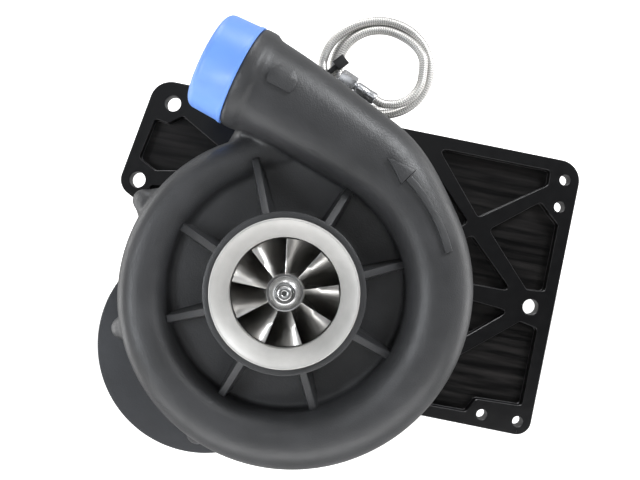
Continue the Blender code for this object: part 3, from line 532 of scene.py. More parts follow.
def stage_material(name, brightness):
    made = bpy.data.materials.new(name)
    made.use_nodes = True
    shader = made.node_tree.nodes["Principled BSDF"]
    shader.inputs["Base Color"].default_value = (0.85, 0.85, 0.85, 1)
    shader.inputs["Roughness"].default_value = 0.9
    shader.inputs["Emission Color"].default_value = (1, 1, 1, 1)
    shader.inputs["Emission Strength"].default_value = brightness
    return made


def studio():
    place = (0, 0, FLOOR_Z)
    bpy.ops.mesh.primitive_circle_add(vertices=96, radius=ROOM_RADIUS, fill_type="NGON", location=place)
    floor = bpy.context.object
    floor.name = "floor"
    floor.data.materials.append(stage_material("floor_white", FLOOR_GLOW))
    floor.visible_glossy = False
    bpy.ops.mesh.primitive_uv_sphere_add(segments=48, ring_count=24, radius=ROOM_RADIUS, location=place)
    dome = bpy.context.object
    dome.name = "backdrop"
    dome.data.materials.append(stage_material("backdrop_white", BACKDROP_GLOW))
    dome.visible_diffuse = False
    dome.visible_glossy = False
    dome.visible_shadow = False


def area_light(name, place, aim, size, power, colour=(1, 1, 1)):
    light = bpy.data.lights.new(name, "AREA")
    light.shape = "RECTANGLE"
    light.size, light.size_y = size
    light.energy = power
    light.color = colour
    made = bpy.data.objects.new(name, light)
    made.location = place
    made.rotation_euler = (Vector(aim) - Vector(place)).to_track_quat("-Z", "Y").to_euler()
    bpy.context.scene.collection.objects.link(made)


def sky_brightness(tree):
    """White on every side but the front, where the room behind the camera is dim."""
    place = tree.nodes.new("ShaderNodeTexCoord")
    parts = tree.nodes.new("ShaderNodeSeparateXYZ")
    tree.links.new(place.outputs["Generated"], parts.inputs[0])
    fade = tree.nodes.new("ShaderNodeMapRange")
    fade.interpolation_type = "SMOOTHSTEP"
    limits = {"From Min": FRONT_EDGE, "From Max": SIDE_EDGE, "To Min": FRONT_SKY, "To Max": SIDE_SKY}
    for socket, value in limits.items():
        fade.inputs[socket].default_value = value
    tree.links.new(parts.outputs["Y"], fade.inputs["Value"])
    return fade.outputs["Result"]


def lights():
    world = bpy.data.worlds.new("studio")
    bpy.context.scene.world = world
    world.use_nodes = True
    background = world.node_tree.nodes["Background"]
    background.inputs["Color"].default_value = (1, 1, 1, 1)
    world.node_tree.links.new(sky_brightness(world.node_tree), background.inputs["Strength"])
    middle = (0.03, -0.09, 0.03)
    area_light("left_strip", (-0.95, 0.22, 0.1), middle, (0.4, 1.2), 5)
    area_light("left_box", (-0.9, -1.05, 0.02), middle, (0.25, 0.7), 8, (0.92, 0.96, 1.0))
    area_light("right_strip", (1.0, 0.15, 0.1), middle, (0.4, 1.2), 5)
    area_light("low_strip", (0.0, -0.3, -0.3), middle, (1.0, 0.15), 1.6)
    area_light("top_box", (-0.15, -0.25, 1.0), middle, (0.9, 0.3), 5)
    area_light("key", (0.9, -0.85, 0.85), middle, (0.4, 0.4), 15, (0.96, 0.98, 1.0))
    area_light("front_fill", (0.0, -1.7, 0.45), middle, (0.6, 0.6), 1.6, (0.95, 0.97, 1.0))


def camera():
    lens = bpy.data.cameras.new("camera")
    lens.lens = LENS_FOCAL
    lens.sensor_width = 36.0
    made = bpy.data.objects.new("camera", lens)
    made.location = (CAMERA_X, INLET_FACE * MM - INLET_DISTANCE, CAMERA_Z)
    made.rotation_euler = (math.radians(90), 0, 0)
    bpy.context.scene.collection.objects.link(made)
    bpy.context.scene.camera = made
    bpy.context.scene.view_settings.view_transform = "Standard"


camera()
studio()
lights()


# ---- oil hose


COIL_LOW, COIL_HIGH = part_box("oil_hose_coil")
COIL_CENTRE = ((COIL_LOW.x + COIL_HIGH.x) / 2 / MM, (COIL_LOW.z + COIL_HIGH.z) / 2 / MM)
COIL_FRONT = COIL_LOW.y / MM
COIL_SLOTS = ((43.7, -12.0), (39.5, -4.9), (35.3, -12.0))  # radius and depth of each turn
TAIL_DEPTH = COIL_FRONT - HOSE_DIAMETER / 2 - 0.3
COIL_START, COIL_TURN_END = 178.0, -730.0  # degrees: the coil is wound clockwise
COIL_STEP = 12.0  # degrees between two points
LEAD_IN = 5.0  # how far out the hose joins the coil
COIL_JOIN = (33.6, -16.8, 175.0)
LEAVING_RADIUS = 38.0
TAIL_GAP = 14.0  # degrees left between the last turn and the tail
COIL_SHIFT, COIL_WIDTH, COIL_HEIGHT = 1.0, 1.03, 0.965


def coil_place(radius, angle):
    """The coil has sagged: it is a little wider than tall."""
    x, z = polar(radius, angle)
    return COIL_CENTRE[0] + COIL_SHIFT + COIL_WIDTH * x, COIL_CENTRE[1] + COIL_HEIGHT * z


def hose_run():
    """From the feed fitting up behind the volute, in front of the plate, to the coil's front."""
    x, y, z = FEED_AT
    return [
        (x, y, z + 24.3), (x, y, z + 34), (x + 2, y - 1, z + 46), (x + 7, y - 1, z + 60),
        (x + 14, y + 2, z + 74), (x + 19.5, y + 6, z + 88), (x + 22.3, y + 9.4, z + 99),
        (x + 23.2, y + 11.3, z + 107),
    ]


def coil_turns():
    """The bound turns: each lies in its own slot and changes slots at the lower left."""
    points = []
    angle = COIL_START
    while angle > COIL_TURN_END + TAIL_GAP:
        done = (180.0 - angle) / 360
        turn = min(max(int(done), 0), 2)
        share = smoothstep(((done - turn) - 0.62) / 0.3)
        following = min(turn + 1, 2)
        radius, depth = mix(COIL_SLOTS[turn], COIL_SLOTS[following], share)
        leaving = smoothstep((angle - (COIL_TURN_END + 75)) / -65)
        radius, depth = mix((radius, depth), (LEAVING_RADIUS, TAIL_DEPTH), leaving)
        radius += LEAD_IN * (1 - smoothstep((COIL_START - angle) / 80))
        x, z = coil_place(radius, angle)
        points.append((x, depth, z))
        angle -= COIL_STEP
    return points


FERRULE_X, FERRULE_Y, FERRULE_Z = -3.5, -4.8, -29.0  # from the coil's centre and the tail's depth


def fitting_axis():
    """Where the ferrule starts, and the way it points: up and to the left."""
    dx, _, dz = in_plane(FITTING_ANGLE)
    start = Vector((COIL_CENTRE[0] + FERRULE_X, TAIL_DEPTH + FERRULE_Y, COIL_CENTRE[1] + FERRULE_Z))
    return start, Vector((dx, 0, dz))


TAIL_CENTRE, TAIL_BEND = (10.5, -5.4), 28.0
TAIL_START, TAIL_STEP, TAIL_RISE = -8.0, -18.0, -0.8  # degrees, degrees and depth of each point


def hose_tail():
    """One even bend from the coil's right side round to the ferrule."""
    places = []
    for k in range(6):
        x, z = polar(TAIL_BEND, TAIL_START + TAIL_STEP * k, TAIL_CENTRE)
        places.append((COIL_CENTRE[0] + x, TAIL_DEPTH + TAIL_RISE * k, COIL_CENTRE[1] + z))
    end, along = fitting_axis()
    return places + [tuple(end - along * back) for back in (5, -1.5)]


def catmull_rom(route, per_span):
    padded = [2 * route[0] - route[1]] + route + [2 * route[-1] - route[-2]]
    line = []
    for a, b, c, d in zip(padded, padded[1:], padded[2:], padded[3:]):
        for i in range(per_span):
            t = i / per_span
            bend = (2 * a - 5 * b + 4 * c - d) * t * t
            line.append(0.5 * ((2 * b) + (c - a) * t + bend + (3 * b - a - 3 * c + d) * t**3))
    return line + [route[-1]]


def even_steps(line, step):
    """The same line with its points an even distance apart."""
    spaced, travelled = [line[0]], 0.0
    for a, b in zip(line, line[1:]):
        length = (b - a).length
        while travelled + length >= step:
            share = (step - travelled) / length
            a = a.lerp(b, share)
            spaced.append(a.copy())
            length = (b - a).length
            travelled = 0.0
        travelled += length
    return spaced


def braided_tube(name, route, finish, step=0.4, sides=36, starts=9, pitch=9.0):
    """A hose whose skin carries the over and under relief of two sets of wire strands."""
    line = even_steps(catmull_rom([Vector(p) for p in route], 16), step)
    base = HOSE_DIAMETER / 2 - 0.1
    relief = 0.3
    points, heights = [], []
    side = Vector((0, 1, 0))
    for k, place in enumerate(line):
        ahead = (line[min(k + 1, len(line) - 1)] - line[max(k - 1, 0)]).normalized()
        side = (side - ahead * side.dot(ahead)).normalized()
        up = ahead.cross(side)
        for i in range(sides):
            turn = 2 * math.pi * i / sides
            first = starts * turn + 2 * math.pi * k * step / pitch * starts / 2
            second = starts * turn - 2 * math.pi * k * step / pitch * starts / 2
            over = math.sin((first + second) / 2)
            a, b = math.cos(first / 2) ** 2, math.cos(second / 2) ** 2
            height = max(a * (0.62 + 0.38 * over), b * (0.62 - 0.38 * over))
            radius = base + relief * (height - 0.5)
            heights.append(height)
            points.append(place + (side * math.cos(turn) + up * math.sin(turn)) * radius)
    hose = mesh_piece(name, points, tube_faces(len(line), sides), finish, sharp=80)
    stored = hose.data.attributes.new("braid_height", "FLOAT", "POINT")
    stored.data.foreach_set("value", heights)
    return hose, line


def hose_fittings():
    """The crimped ferrule with its stem, and the hex swivel nut."""
    end, along = fitting_axis()
    turn = turn_to(along)
    shell = [(0, 0), (4.3, 0), (4.9, 0.2), (5.25, 0.8), (5.3, 1.6), (5.3, 4.6)]
    shell += [(5.16, 5.2), (5.12, 8), (5.16, 10.8), (5.3, 11.4), (5.3, 18.2), (5.1, 19.2)]
    shell += [(4.6, 19.8), (3.9, 20.1), (3.4, 20.4), (3.4, 31.5), (3.0, 32), (0, 32)]
    ferrule = lathe("hose_crimp_ferrule", shell, BRIGHT, end, 64, turn)
    settle(ferrule, "housing", "polished_steel", "hose_ferrule")
    nut = hex_nut("hose_hex_nut", 7.9, 21.5, 36.5, BRIGHT, end, turn)
    seat = [(0, 15), (3.75, 15), (3.75, 32.4), (5.4, 32.8), (5.4, 36), (5.9, 37), (5.9, 40), (0, 40)]
    combine(nut, [lathe("nut_bore", seat, None, end, 48, turn)], "DIFFERENCE")
    settle(nut, "hose_nut", "polished_steel", "hose_swivel_nut", finish=BRIGHT, sharp=25)
    return ferrule, nut


def hex_nut(name, corner, start, end, finish, at, turn):
    """A hexagonal bar with its ends chamfered by a cone, as a nut is turned."""
    nut = prisms(name, [circle((0, 0), corner, 6)], start, end, finish, at, turn)
    flat = corner * math.cos(math.pi / 6)
    drop = (corner - flat) * 0.62
    inner, outer = flat - 0.1, corner + 0.1
    cone = [(0, start), (inner, start), (outer, start + drop), (outer, end - drop), (inner, end), (0, end)]
    combine(nut, [lathe(name + "_cone", cone, None, at, 64, turn)], "INTERSECT")
    soften_edges(nut, 0.2, 2, 25)
    finish_mesh(nut, finish, 25)
    return nut


TIE_TURN = 38.0
TIE_SHIFT = (1.6, 0.6)
STRAP_FRONT, STRAP_BACK = COIL_FRONT - 0.9, -0.1
STRAP_LEFT, STRAP_RIGHT, STRAP_WALL = -13.0, 9.6, 1.0


def strap_outline(inset, corner):
    left, right = STRAP_LEFT + inset, STRAP_RIGHT - inset
    low, high = STRAP_FRONT + inset, STRAP_BACK - inset
    return rounded([(left, low), (right, low), (right, high), (left, high)], corner, 6)


def cable_tie():
    """A narrow strap drawn round the strands, its ratchet head in front and the cut tail."""
    strap = prisms("coil_cable_tie", [strap_outline(0, 5.0)], -2.3, 2.3)
    combine(strap, [prisms("tie_hole", [strap_outline(STRAP_WALL, 4.2)], -4, 4)], "DIFFERENCE")
    front = STRAP_FRONT
    head = [(0.6, front - 5.6), (11.2, front - 5.6), (11.2, front + 0.5), (0.6, front + 0.5)]
    tail = [(-8.5, front - 2.9), (1.5, front - 2.6), (1.5, front - 1.5), (-8.5, front - 1.8)]
    ends = [prisms("tie_head", [rounded(head, 1.0, 3)], -4.7, 4.7), prisms("tie_tail", [tail], -1.9, 1.9)]
    combine(strap, ends, "UNION")
    soften_edges(strap, 0.3, 2, 30)
    x, z = polar(COIL_SLOTS[1][0], 180, COIL_CENTRE)
    turn = math.radians(TIE_TURN)
    for vertex in strap.data.vertices:
        across, along, deep = vertex.co
        right = across * math.cos(turn) - along * math.sin(turn)
        up = across * math.sin(turn) + along * math.cos(turn)
        vertex.co = (right + (x + TIE_SHIFT[0]) * MM, deep, up + (z + TIE_SHIFT[1]) * MM)
    settle(strap, "housing", "black_nylon", "cable_tie", finish=NYLON)
    strap.data.update()
    return strap


def rounded(outline, radius, steps=5):
    """An outline with each corner drawn as an arc, as a cutter leaves it."""
    made = []
    count = len(outline)
    for k in range(count):
        before, corner, after = (Vector(outline[(k + d) % count]) for d in (-1, 0, 1))
        back, ahead = (before - corner), (after - corner)
        angle = back.angle(ahead)
        reach = min(radius / math.tan(angle / 2), 0.48 * back.length, 0.48 * ahead.length)
        start, end = corner + back.normalized() * reach, corner + ahead.normalized() * reach
        for i in range(steps + 1):
            t = i / steps
            point = start * (1 - t) ** 2 + corner * 2 * t * (1 - t) + end * t * t
            made.append(tuple(point))
    return made


def oil_hose():
    route = hose_run() + [COIL_JOIN] + coil_turns() + hose_tail()
    hose, line = braided_tube("braided_oil_hose", route, BRAID)
    settle(hose, "housing", "hose_braid", "oil_hose", "oil_hose_coil", "oil_hose_tail")
    ferrule, nut = hose_fittings()
    tie = cable_tie()


oil_hose()


# ---- volute


SQUARENESS = 2.3  # of a section: 2 is an ellipse


def scroll_outer(angle):
    """The scroll's outer radius: it grows round the turn and swells into the discharge."""
    grown = min(max((angle - TONGUE_ANGLE) / (360 - TONGUE_ANGLE), 0.0), 1.0)
    return 126.5 + 20.0 * grown**0.85 + 10.5 * smoothstep((angle - 385) / 35)


def scroll_station(angle, wall=0.0):
    """(centre, in-plane normal, half width, half depth) of the scroll's section."""
    outer = scroll_outer(angle)
    inner = FLOOR_RADIUS + 22 * (1 - smoothstep((angle - 68) / 44))
    growth = (angle - TIP_ANGLE) / (SCROLL_END_ANGLE - TIP_ANGLE)
    half_depth = 15.5 + 16.5 * max(growth, 0) ** 0.6
    x, z = polar((outer + inner) / 2, angle)
    return (x, VOLUTE_BACK - half_depth, z), polar(1, angle), (outer - inner) / 2 - wall, half_depth - wall


def bezier(a, b, c, d, t):
    s = 1 - t
    return [s**3 * p + 3 * s * s * t * q + 3 * s * t * t * r + t**3 * w for p, q, r, w in zip(a, b, c, d)]


def pipe_station(share, wall=0.0):
    """The same for the diffuser, from the scroll's end (0) to the discharge (1)."""
    start, _, width, depth = scroll_station(SCROLL_END_ANGLE)
    leave, arrive = polar(40, SCROLL_END_ANGLE + 90), polar(40, EXIT_ANGLE)
    second = (start[0] + leave[0], start[1], start[2] + leave[1])
    third = (EXIT_AT[0] - arrive[0], EXIT_AT[1], EXIT_AT[2] - arrive[1])
    centre = bezier(start, second, third, EXIT_AT, share)
    before, after = (bezier(start, second, third, EXIT_AT, share + d) for d in (-0.01, 0.01))
    along = Vector((after[0] - before[0], after[2] - before[2])).normalized()
    half_width = width + (PIPE_RADIUS - width) * share
    half_depth = depth + (PIPE_RADIUS - depth) * share**2
    return centre, (along.y, -along.x), half_width - wall, half_depth - wall


def swept(name, stations, sides=56, squareness=SQUARENESS):
    """A tube with rounded-square sections, through stations as scroll_station gives them."""
    points = []
    for (x, y, z), (nx, nz), width, depth in stations:
        for i in range(sides):
            turn = 2 * math.pi * (i + 0.5) / sides
            c, s = math.cos(turn), math.sin(turn)
            stretch = (abs(c) ** squareness + abs(s) ** squareness) ** (-1 / squareness)
            across, deep = width * c * stretch, depth * s * stretch
            points.append((x + nx * across, y + deep, z + nz * across))
    return mesh_piece(name, points, tube_faces(len(stations), sides))


def between(start, end, steps):
    return [start + (end - start) * i / steps for i in range(steps + 1)]


def impeller_contour(radius_in, y_in, radius_out, y_out, steps=8):
    """A quarter-ellipse from an axial inlet to a radial outlet, as (radius, y)."""
    line = []
    for i in range(steps + 1):
        turn = math.pi / 2 * i / steps
        radius = radius_out - (radius_out - radius_in) * math.cos(turn)
        line.append((radius, y_in + (y_out - y_in) * math.sin(turn)))
    return line


def screw_angles():
    return [FIRST_RIB_ANGLE + 360 / RIB_COUNT * k for k in range(RIB_COUNT)]


def screw_circles(radius, steps):
    return [circle(polar(SCREW_CIRCLE, angle), radius, steps) for angle in screw_angles()]


TIP_SWEEP = 80  # degrees of arc on each side of a lug's middle
BOSS_REACH, BOSS_SPREAD = 20.0, 17.0  # how far in a boss's foot is, and its half angle
TAB_FOOT, TAB_SPREAD = 104.0, 9.0


def lug_outline(angle, circle_radius, radius, foot, spread):
    """A round-ended tab: an arc about a screw, run back to two points nearer the axis."""
    tip = arc(polar(circle_radius, angle), radius, angle - TIP_SWEEP, angle + TIP_SWEEP, 14)
    return [polar(foot, angle - spread)] + tip + [polar(foot, angle + spread)]


RIB_START, RIB_END = -153.6, -121.0  # where its crest lies at the rim and at its outer end
RIB_STEPS = 16


def ribs():
    """Drafted ribs: flush with the inlet's rim, falling outwards to a low end."""
    points, faces = [], []
    start = COLLAR_RADIUS - 3.5
    for angle in screw_angles():
        reach = FLOOR_RADIUS + (15 if 90 < angle < 120 else 4)
        c, s = polar(1, angle)
        first = len(points)
        for i in range(RIB_STEPS + 1):
            share = i / RIB_STEPS
            radius = start + (reach - start) * share
            crest = RIB_START + (RIB_END - RIB_START) * share + 4 * smoothstep((share - 0.93) / 0.07)
            base, top = 5.6 - 1.6 * share, 2.6 - 0.3 * share
            side = [(-base - 1.6, -0.1), (-base, 0.07), (-base * 0.9, 0.2), (-top - 0.55, 0.93), (-top, 1)]
            section = side + [(-across, height) for across, height in reversed(side)]
            for across, height in section:
                y = FLOOR_Y + (crest - FLOOR_Y) * height
                points.append((radius * c - across * s, y, radius * s + across * c))
        faces += tube_faces(RIB_STEPS + 1, len(section), first)
    made = mesh_piece("casting_ribs", points, faces, COATED, sharp=70)
    soften_edges(made, 0.6, 3, 25)
    settle(made, "housing", "coated_casting", finish=COATED, sharp=70)


def inlet_collar():
    """The coated rim round the machined inlet, with a foot that flares into the floor."""
    front = COLLAR_FRONT
    line = [(56.7, -118), (56.7, front + 0.4), (57.1, front), (COLLAR_RADIUS - 1.0, front)]
    line += [(COLLAR_RADIUS - 0.3, front + 0.3), (COLLAR_RADIUS, front + 1.0)]
    line += [(COLLAR_RADIUS + 0.4, -106), (57, -106)]
    settle(lathe("inlet_collar", line, COATED, segments=192, sharp=40), "housing", "coated_casting")


BOSS_STATIONS = (  # depth, tip radius and screw circle radius of each section
    (-84, 9.0, 136.0),
    (-96, 9.0, 136.0),
    (-102, 9.2, 134.2),
    (-107, 9.4, 130.5),
    (-113, 8.6, 124.5),
)


def bosses():
    """A lug behind the flange for each screw, with draft, that dies into the scroll's side."""
    parts = []
    for angle in screw_angles():
        points = []
        for y, radius, circle_radius in BOSS_STATIONS:
            outline = lug_outline(angle, circle_radius, radius, circle_radius - BOSS_REACH, BOSS_SPREAD)
            points += [(x, y, z) for x, z in outline]
        parts.append(mesh_piece("boss", points, tube_faces(len(BOSS_STATIONS), len(outline))))
    return parts


def cast_body():
    """The turned core of the casting: flange, floor and inlet collar."""
    outline = [(30, VOLUTE_BACK), (124, VOLUTE_BACK), (124, FLANGE_FRONT), (106, FLANGE_FRONT)]
    outline += [(102, FLOOR_Y), (COLLAR_RADIUS - 1.5, FLOOR_Y)]
    outline += [(COLLAR_RADIUS - 1.5, COLLAR_FRONT + 7), (30, COLLAR_FRONT + 7)]
    return lathe("cast_body", outline, segments=180)


def spigot():
    """The outlet's end: a rolled bead, then the plain spigot that a hose slips over."""
    bead, end = BEAD_RADIUS, SPIGOT_LENGTH
    outline = [(0, -BEAD_LENGTH), (bead - 2.4, -BEAD_LENGTH - 1.5), (bead - 0.6, 0.9 - BEAD_LENGTH)]
    outline += [(bead, 3.0 - BEAD_LENGTH), (bead, -1.2), (bead - 1.2, 0), (SPIGOT_RADIUS, 0)]
    outline += [(SPIGOT_RADIUS, end - 1), (SPIGOT_RADIUS - 1, end), (0, end)]
    return lathe("spigot", outline, None, EXIT_AT, 96, EXIT_TURN)


VOXEL = 1.7


def volute_casting():
    early = [scroll_station(a, -0.15) for a in between(70, 236, 50)]
    late = [scroll_station(a) for a in between(228, SCROLL_END_ANGLE, 58)]
    late += [pipe_station(0.97 * i / 18) for i in range(1, 19)]
    parts = [cast_body(), swept("early", early), swept("late", late), spigot()] + bosses()
    casting = merge_objects("volute_casting", parts)
    remesh = casting.modifiers.new("remesh", "REMESH")
    remesh.mode = "VOXEL"
    remesh.voxel_size = VOXEL * MM
    smooth = casting.modifiers.new("smooth", "SMOOTH")
    smooth.factor = 0.5
    smooth.iterations = 7
    bake_modifiers(casting)
    cutters = [casting_cavity(), scroll_hollow(), discharge_bore()]
    cutters.append(prisms("holes", screw_circles(3.3, 24), VOLUTE_BACK + 4, VOLUTE_BACK - 10.5))
    combine(casting, cutters, "DIFFERENCE")
    settle(casting, "housing", "coated_casting", "volute_housing", finish=COATED, sharp=50)


BELL_DEPTH = 13.5
THROAT_Y = -138.0


def bell_line():
    """The bell-mouth and shroud seen from inside: rim, bevel, throat and exducer."""
    line = [(INLET_OUTER, INLET_FACE + 5.4), (INLET_OUTER, INLET_FACE + 0.7), (INLET_OUTER - 0.7, INLET_FACE)]
    lip = INLET_OUTER - 1.6
    for i in range(9):
        share = i / 8
        line.append((lip + (INLET_RADIUS - lip) * share, INLET_FACE + BELL_DEPTH * share**1.25))
    return line + impeller_contour(INLET_RADIUS, THROAT_Y, EXDUCER_RADIUS + 3, OUTLET_FRONT - 0.9, 12)


def bell_mouth():
    """The machined inlet ring, with the shroud that it leads into."""
    back = [(70, OUTLET_FRONT - 0.9), (70, -99), (62, -103), (55, -112)]
    back += [(52, -135), (57.2, -149), (57.2, INLET_FACE + 5.4)]
    ring = lathe("inlet_bell_mouth", bell_line() + back, RING, segments=192, sharp=28)
    settle(ring, "housing", "machined_aluminium")


def casting_cavity():
    outline = [(0, INLET_FACE - 6), (55.6, INLET_FACE - 6), (55.6, -150), (44, -147)]
    outline += impeller_contour(INLET_RADIUS + 1, THROAT_Y, EXDUCER_RADIUS + 5, OUTLET_FRONT - 2.2, 12)
    outline += [(103, OUTLET_FRONT - 0.9), (103, VOLUTE_BACK + 6), (0, VOLUTE_BACK + 6)]
    return lathe("casting_cavity", outline, segments=128)


def scroll_hollow():
    stations = [scroll_station(a, SCROLL_WALL) for a in between(TONGUE_ANGLE, SCROLL_END_ANGLE, 60)]
    stations += [pipe_station(0.93 * i / 14, SCROLL_WALL) for i in range(1, 15)]
    return swept("scroll_hollow", stations, 40, 2.2)


def discharge_bore():
    end = SPIGOT_LENGTH + 6
    outline = [(0, -34), (BORE_RADIUS - 1.5, -34), (BORE_RADIUS, -14), (BORE_RADIUS, end), (0, end)]
    return lathe("discharge_bore", outline, None, EXIT_AT, 80, EXIT_TURN)


def front_surface(angle, radius, rise):
    """A point on the scroll's front at this angle and radius, lifted by rise."""
    (x, y, z), (nx, nz), width, depth = scroll_station(angle)
    centre_radius = math.hypot(x, z)
    across = min(max((radius - centre_radius) / width, -0.98), 0.98)
    deep = depth * (1 - abs(across) ** SQUARENESS) ** (1 / SQUARENESS)
    px, pz = polar(radius, angle)
    return px, y - deep - rise, pz


def raised_band(points_at, across_steps, along_steps, rise):
    """A low pad that follows the casting: its rim is sunk into the surface and its top stands proud."""
    points = []
    for level in (-1.2, rise):
        for i in range(along_steps + 1):
            for j in range(across_steps + 1):
                angle, radius = points_at(i / along_steps, j / across_steps, level == rise)
                points.append(front_surface(angle, radius, level))
    return points, pad_faces(along_steps, across_steps)


ARROW_RADIUS = 127.5
ARROW_HALF_WIDTH = 3.4
ARROW_HEAD_HALF_WIDTH = 8.4
ARROW_RISE = 3.2
ARROW_START, HEAD_START = 374.0, 402.8
SHAFT_SWEEP, HEAD_SWEEP = 29.0, 10.0


def rotation_arrow():
    """A cast arrow on the scroll that shows which way the impeller turns."""

    def shaft(along, across, top):
        half = ARROW_HALF_WIDTH - (0.7 if top else 0)
        return ARROW_START + SHAFT_SWEEP * along, ARROW_RADIUS + half * (2 * across - 1)

    def head(along, across, top):
        half = (ARROW_HEAD_HALF_WIDTH - (0.9 if top else 0)) * (1 - 0.96 * along)
        draft = 0.4 - 0.8 * along if top else 0
        return HEAD_START + HEAD_SWEEP * along + draft, ARROW_RADIUS + half * (2 * across - 1)

    for name, shape, steps in (("rotation_arrow_shaft", shaft, 40), ("rotation_arrow_head", head, 16)):
        points, faces = raised_band(shape, 4, steps, ARROW_RISE)
        pad = mesh_piece(name, points, faces, COATED, sharp=60)
        soften_edges(pad, 0.3, 2, 30)
        settle(pad, "housing", "coated_casting", finish=COATED, sharp=70)


PAD_AT = (-1.6, 159.5)
PAD_RADIUS = 11.2
PAD_TURN = 27.0


def pipe_pad():
    """The D-shaped pad cast on the discharge pipe."""
    outline = arc(PAD_AT, PAD_RADIUS, -35 - PAD_TURN, 215 - PAD_TURN, 36)
    pad = prisms("pipe_pad", [rounded(outline, 1.5, 2)], -175, -130)
    skin = swept("pad_skin", [pipe_station(i / 18, -2.5) for i in range(19)], 72)
    combine(pad, [skin], "INTERSECT")
    soften_edges(pad, 0.4, 2, 35)
    settle(pad, "housing", "coated_casting", finish=COATED, sharp=60)


volute_casting()
ribs()
inlet_collar()
bell_mouth()
rotation_arrow()
pipe_pad()


# ---- impeller


BLADE_ALONG, BLADE_ACROSS = 26, 8  # steps of a blade's grid
BLADE_BEND = 0.6  # under 1: the blade lies flat to the flow at its leading edge and turns up deeper


def blade_mesh(first_angle, start, points, faces):
    """A thin twisted blade from hub to shroud, thicker at its root, with a rounded leading edge."""
    hub = impeller_contour(HUB_RADIUS - 1.2, BLADE_TIP_Y, EXDUCER_RADIUS, -90.2, BLADE_ALONG)
    tip = impeller_contour(EYE_RADIUS - 0.4, BLADE_TIP_Y, EXDUCER_RADIUS, OUTLET_FRONT, BLADE_ALONG)
    faces += pad_faces(BLADE_ALONG, BLADE_ACROSS, len(points))
    for side in (-1, 1):
        for i in range(BLADE_ALONG + 1):
            share = start + (1 - start) * i / BLADE_ALONG
            place = share * BLADE_ALONG
            k = min(int(place), BLADE_ALONG - 1)
            rounding = max(min(1.0, math.sqrt(i / BLADE_ALONG / 0.06)), 0.2)
            turn = first_angle - BLADE_WRAP * share**BLADE_BEND
            for j in range(BLADE_ACROSS + 1):
                a, b = mix(hub[k], hub[k + 1], place - k), mix(tip[k], tip[k + 1], place - k)
                radius, y = mix(a, b, j / BLADE_ACROSS)
                half = (0.85 - 0.45 * j / BLADE_ACROSS) * rounding
                x, z = polar(radius, turn)
                nx, nz = polar(half, turn + 90)
                points.append((x + side * nx, y + side * 0.35 * half, z + side * nz))


def impeller():
    hub = [(6.3, -88.0), (6.3, BLADE_TIP_Y - 1)]
    hub += [(HUB_RADIUS - 2.6, BLADE_TIP_Y - 1), (HUB_RADIUS - 1.2, BLADE_TIP_Y - 0.4)]
    hub += impeller_contour(HUB_RADIUS, BLADE_TIP_Y + 1.5, EXDUCER_RADIUS, -91.0, 28)
    hub += [(EXDUCER_RADIUS, -88.6), (EXDUCER_RADIUS - 0.6, -88.0), (40, -88.0)]
    hub += [(36, -89.4), (20, -89.4), (17, -88.0)]
    wheel = lathe("impeller_hub", hub, BLADES, segments=144, sharp=30)
    points, faces = [], []
    for k in range(BLADE_COUNT):
        angle = FIRST_BLADE_ANGLE + 360 / BLADE_COUNT * k
        blade_mesh(angle, 0.0, points, faces)
        blade_mesh(angle + 180 / BLADE_COUNT, 0.36, points, faces)
    blades = mesh_piece("impeller_blades", points, faces, BLADES, sharp=50)
    settle(wheel, "impeller_rotor", "polished_aluminium", "impeller")
    settle(blades, "impeller_rotor", "polished_aluminium")


def impeller_nose():
    """The grooved collar, the coned lock nut and the shaft's end with its centre drilling, whose shallow
    hollow holds a dark disc of painted shade.
    """

    def ring(name, line, slot, *nodes, finish=NOSE, segments=96):
        made = lathe(name, line, finish, segments=segments, sharp=40)
        settle(made, "impeller_rotor", slot, *nodes)

    collar = [(6.3, -141.5), (14.2, -141.5), (14.7, -142.2), (14.5, -143.2), (13.9, -143.8), (13.3, -143.7)]
    collar += [(12.9, -142.9), (12.7, -141.9), (12.1, -141.9), (11.9, -143.9), (6.3, -143.9)]
    ring("impeller_collar", collar, "polished_aluminium", "impeller_washer", segments=128)
    nut = [(6.15, -144.1), (11.6, -144.1), (11.9, -144.6), (11.6, -145.2), (8.6, -148.1), (8.2, -148.3)]
    nut += [(7.8, -148.1), (7.6, -147.2), (7.4, -147.2), (7.3, -150.7), (6.9, -151.6), (6.5, -151.7)]
    nut += [(6.25, -151.2), (6.2, -149.6)]
    ring("impeller_lock_nut", nut, "polished_steel", "impeller_nut")
    end = [(0, -153.68), (2.0, -153.68), (2.05, -154.3), (2.5, -154.6), (4.6, -154.7), (5.3, -154.3)]
    end += [(5.7, -153.6), (6.1, -152.8), (6.1, -140), (0, -140)]
    ring("impeller_shaft_end", end, "gear_steel", segments=64)
    # Painted shade: a thin disc in dark rubber finish lines the drilling's shallow hollow, standing for the
    # dark inside of a deeper hole.
    drilling = [(0, -153.7), (1.2, -153.75), (1.7, -154.1), (1.98, -154.2), (1.98, -153.66), (0, -153.66)]
    ring("centre_drilling_painted_shade", drilling, "gear_steel", finish=SEAL, segments=48)


impeller()
impeller_nose()


# ---- mounting plate


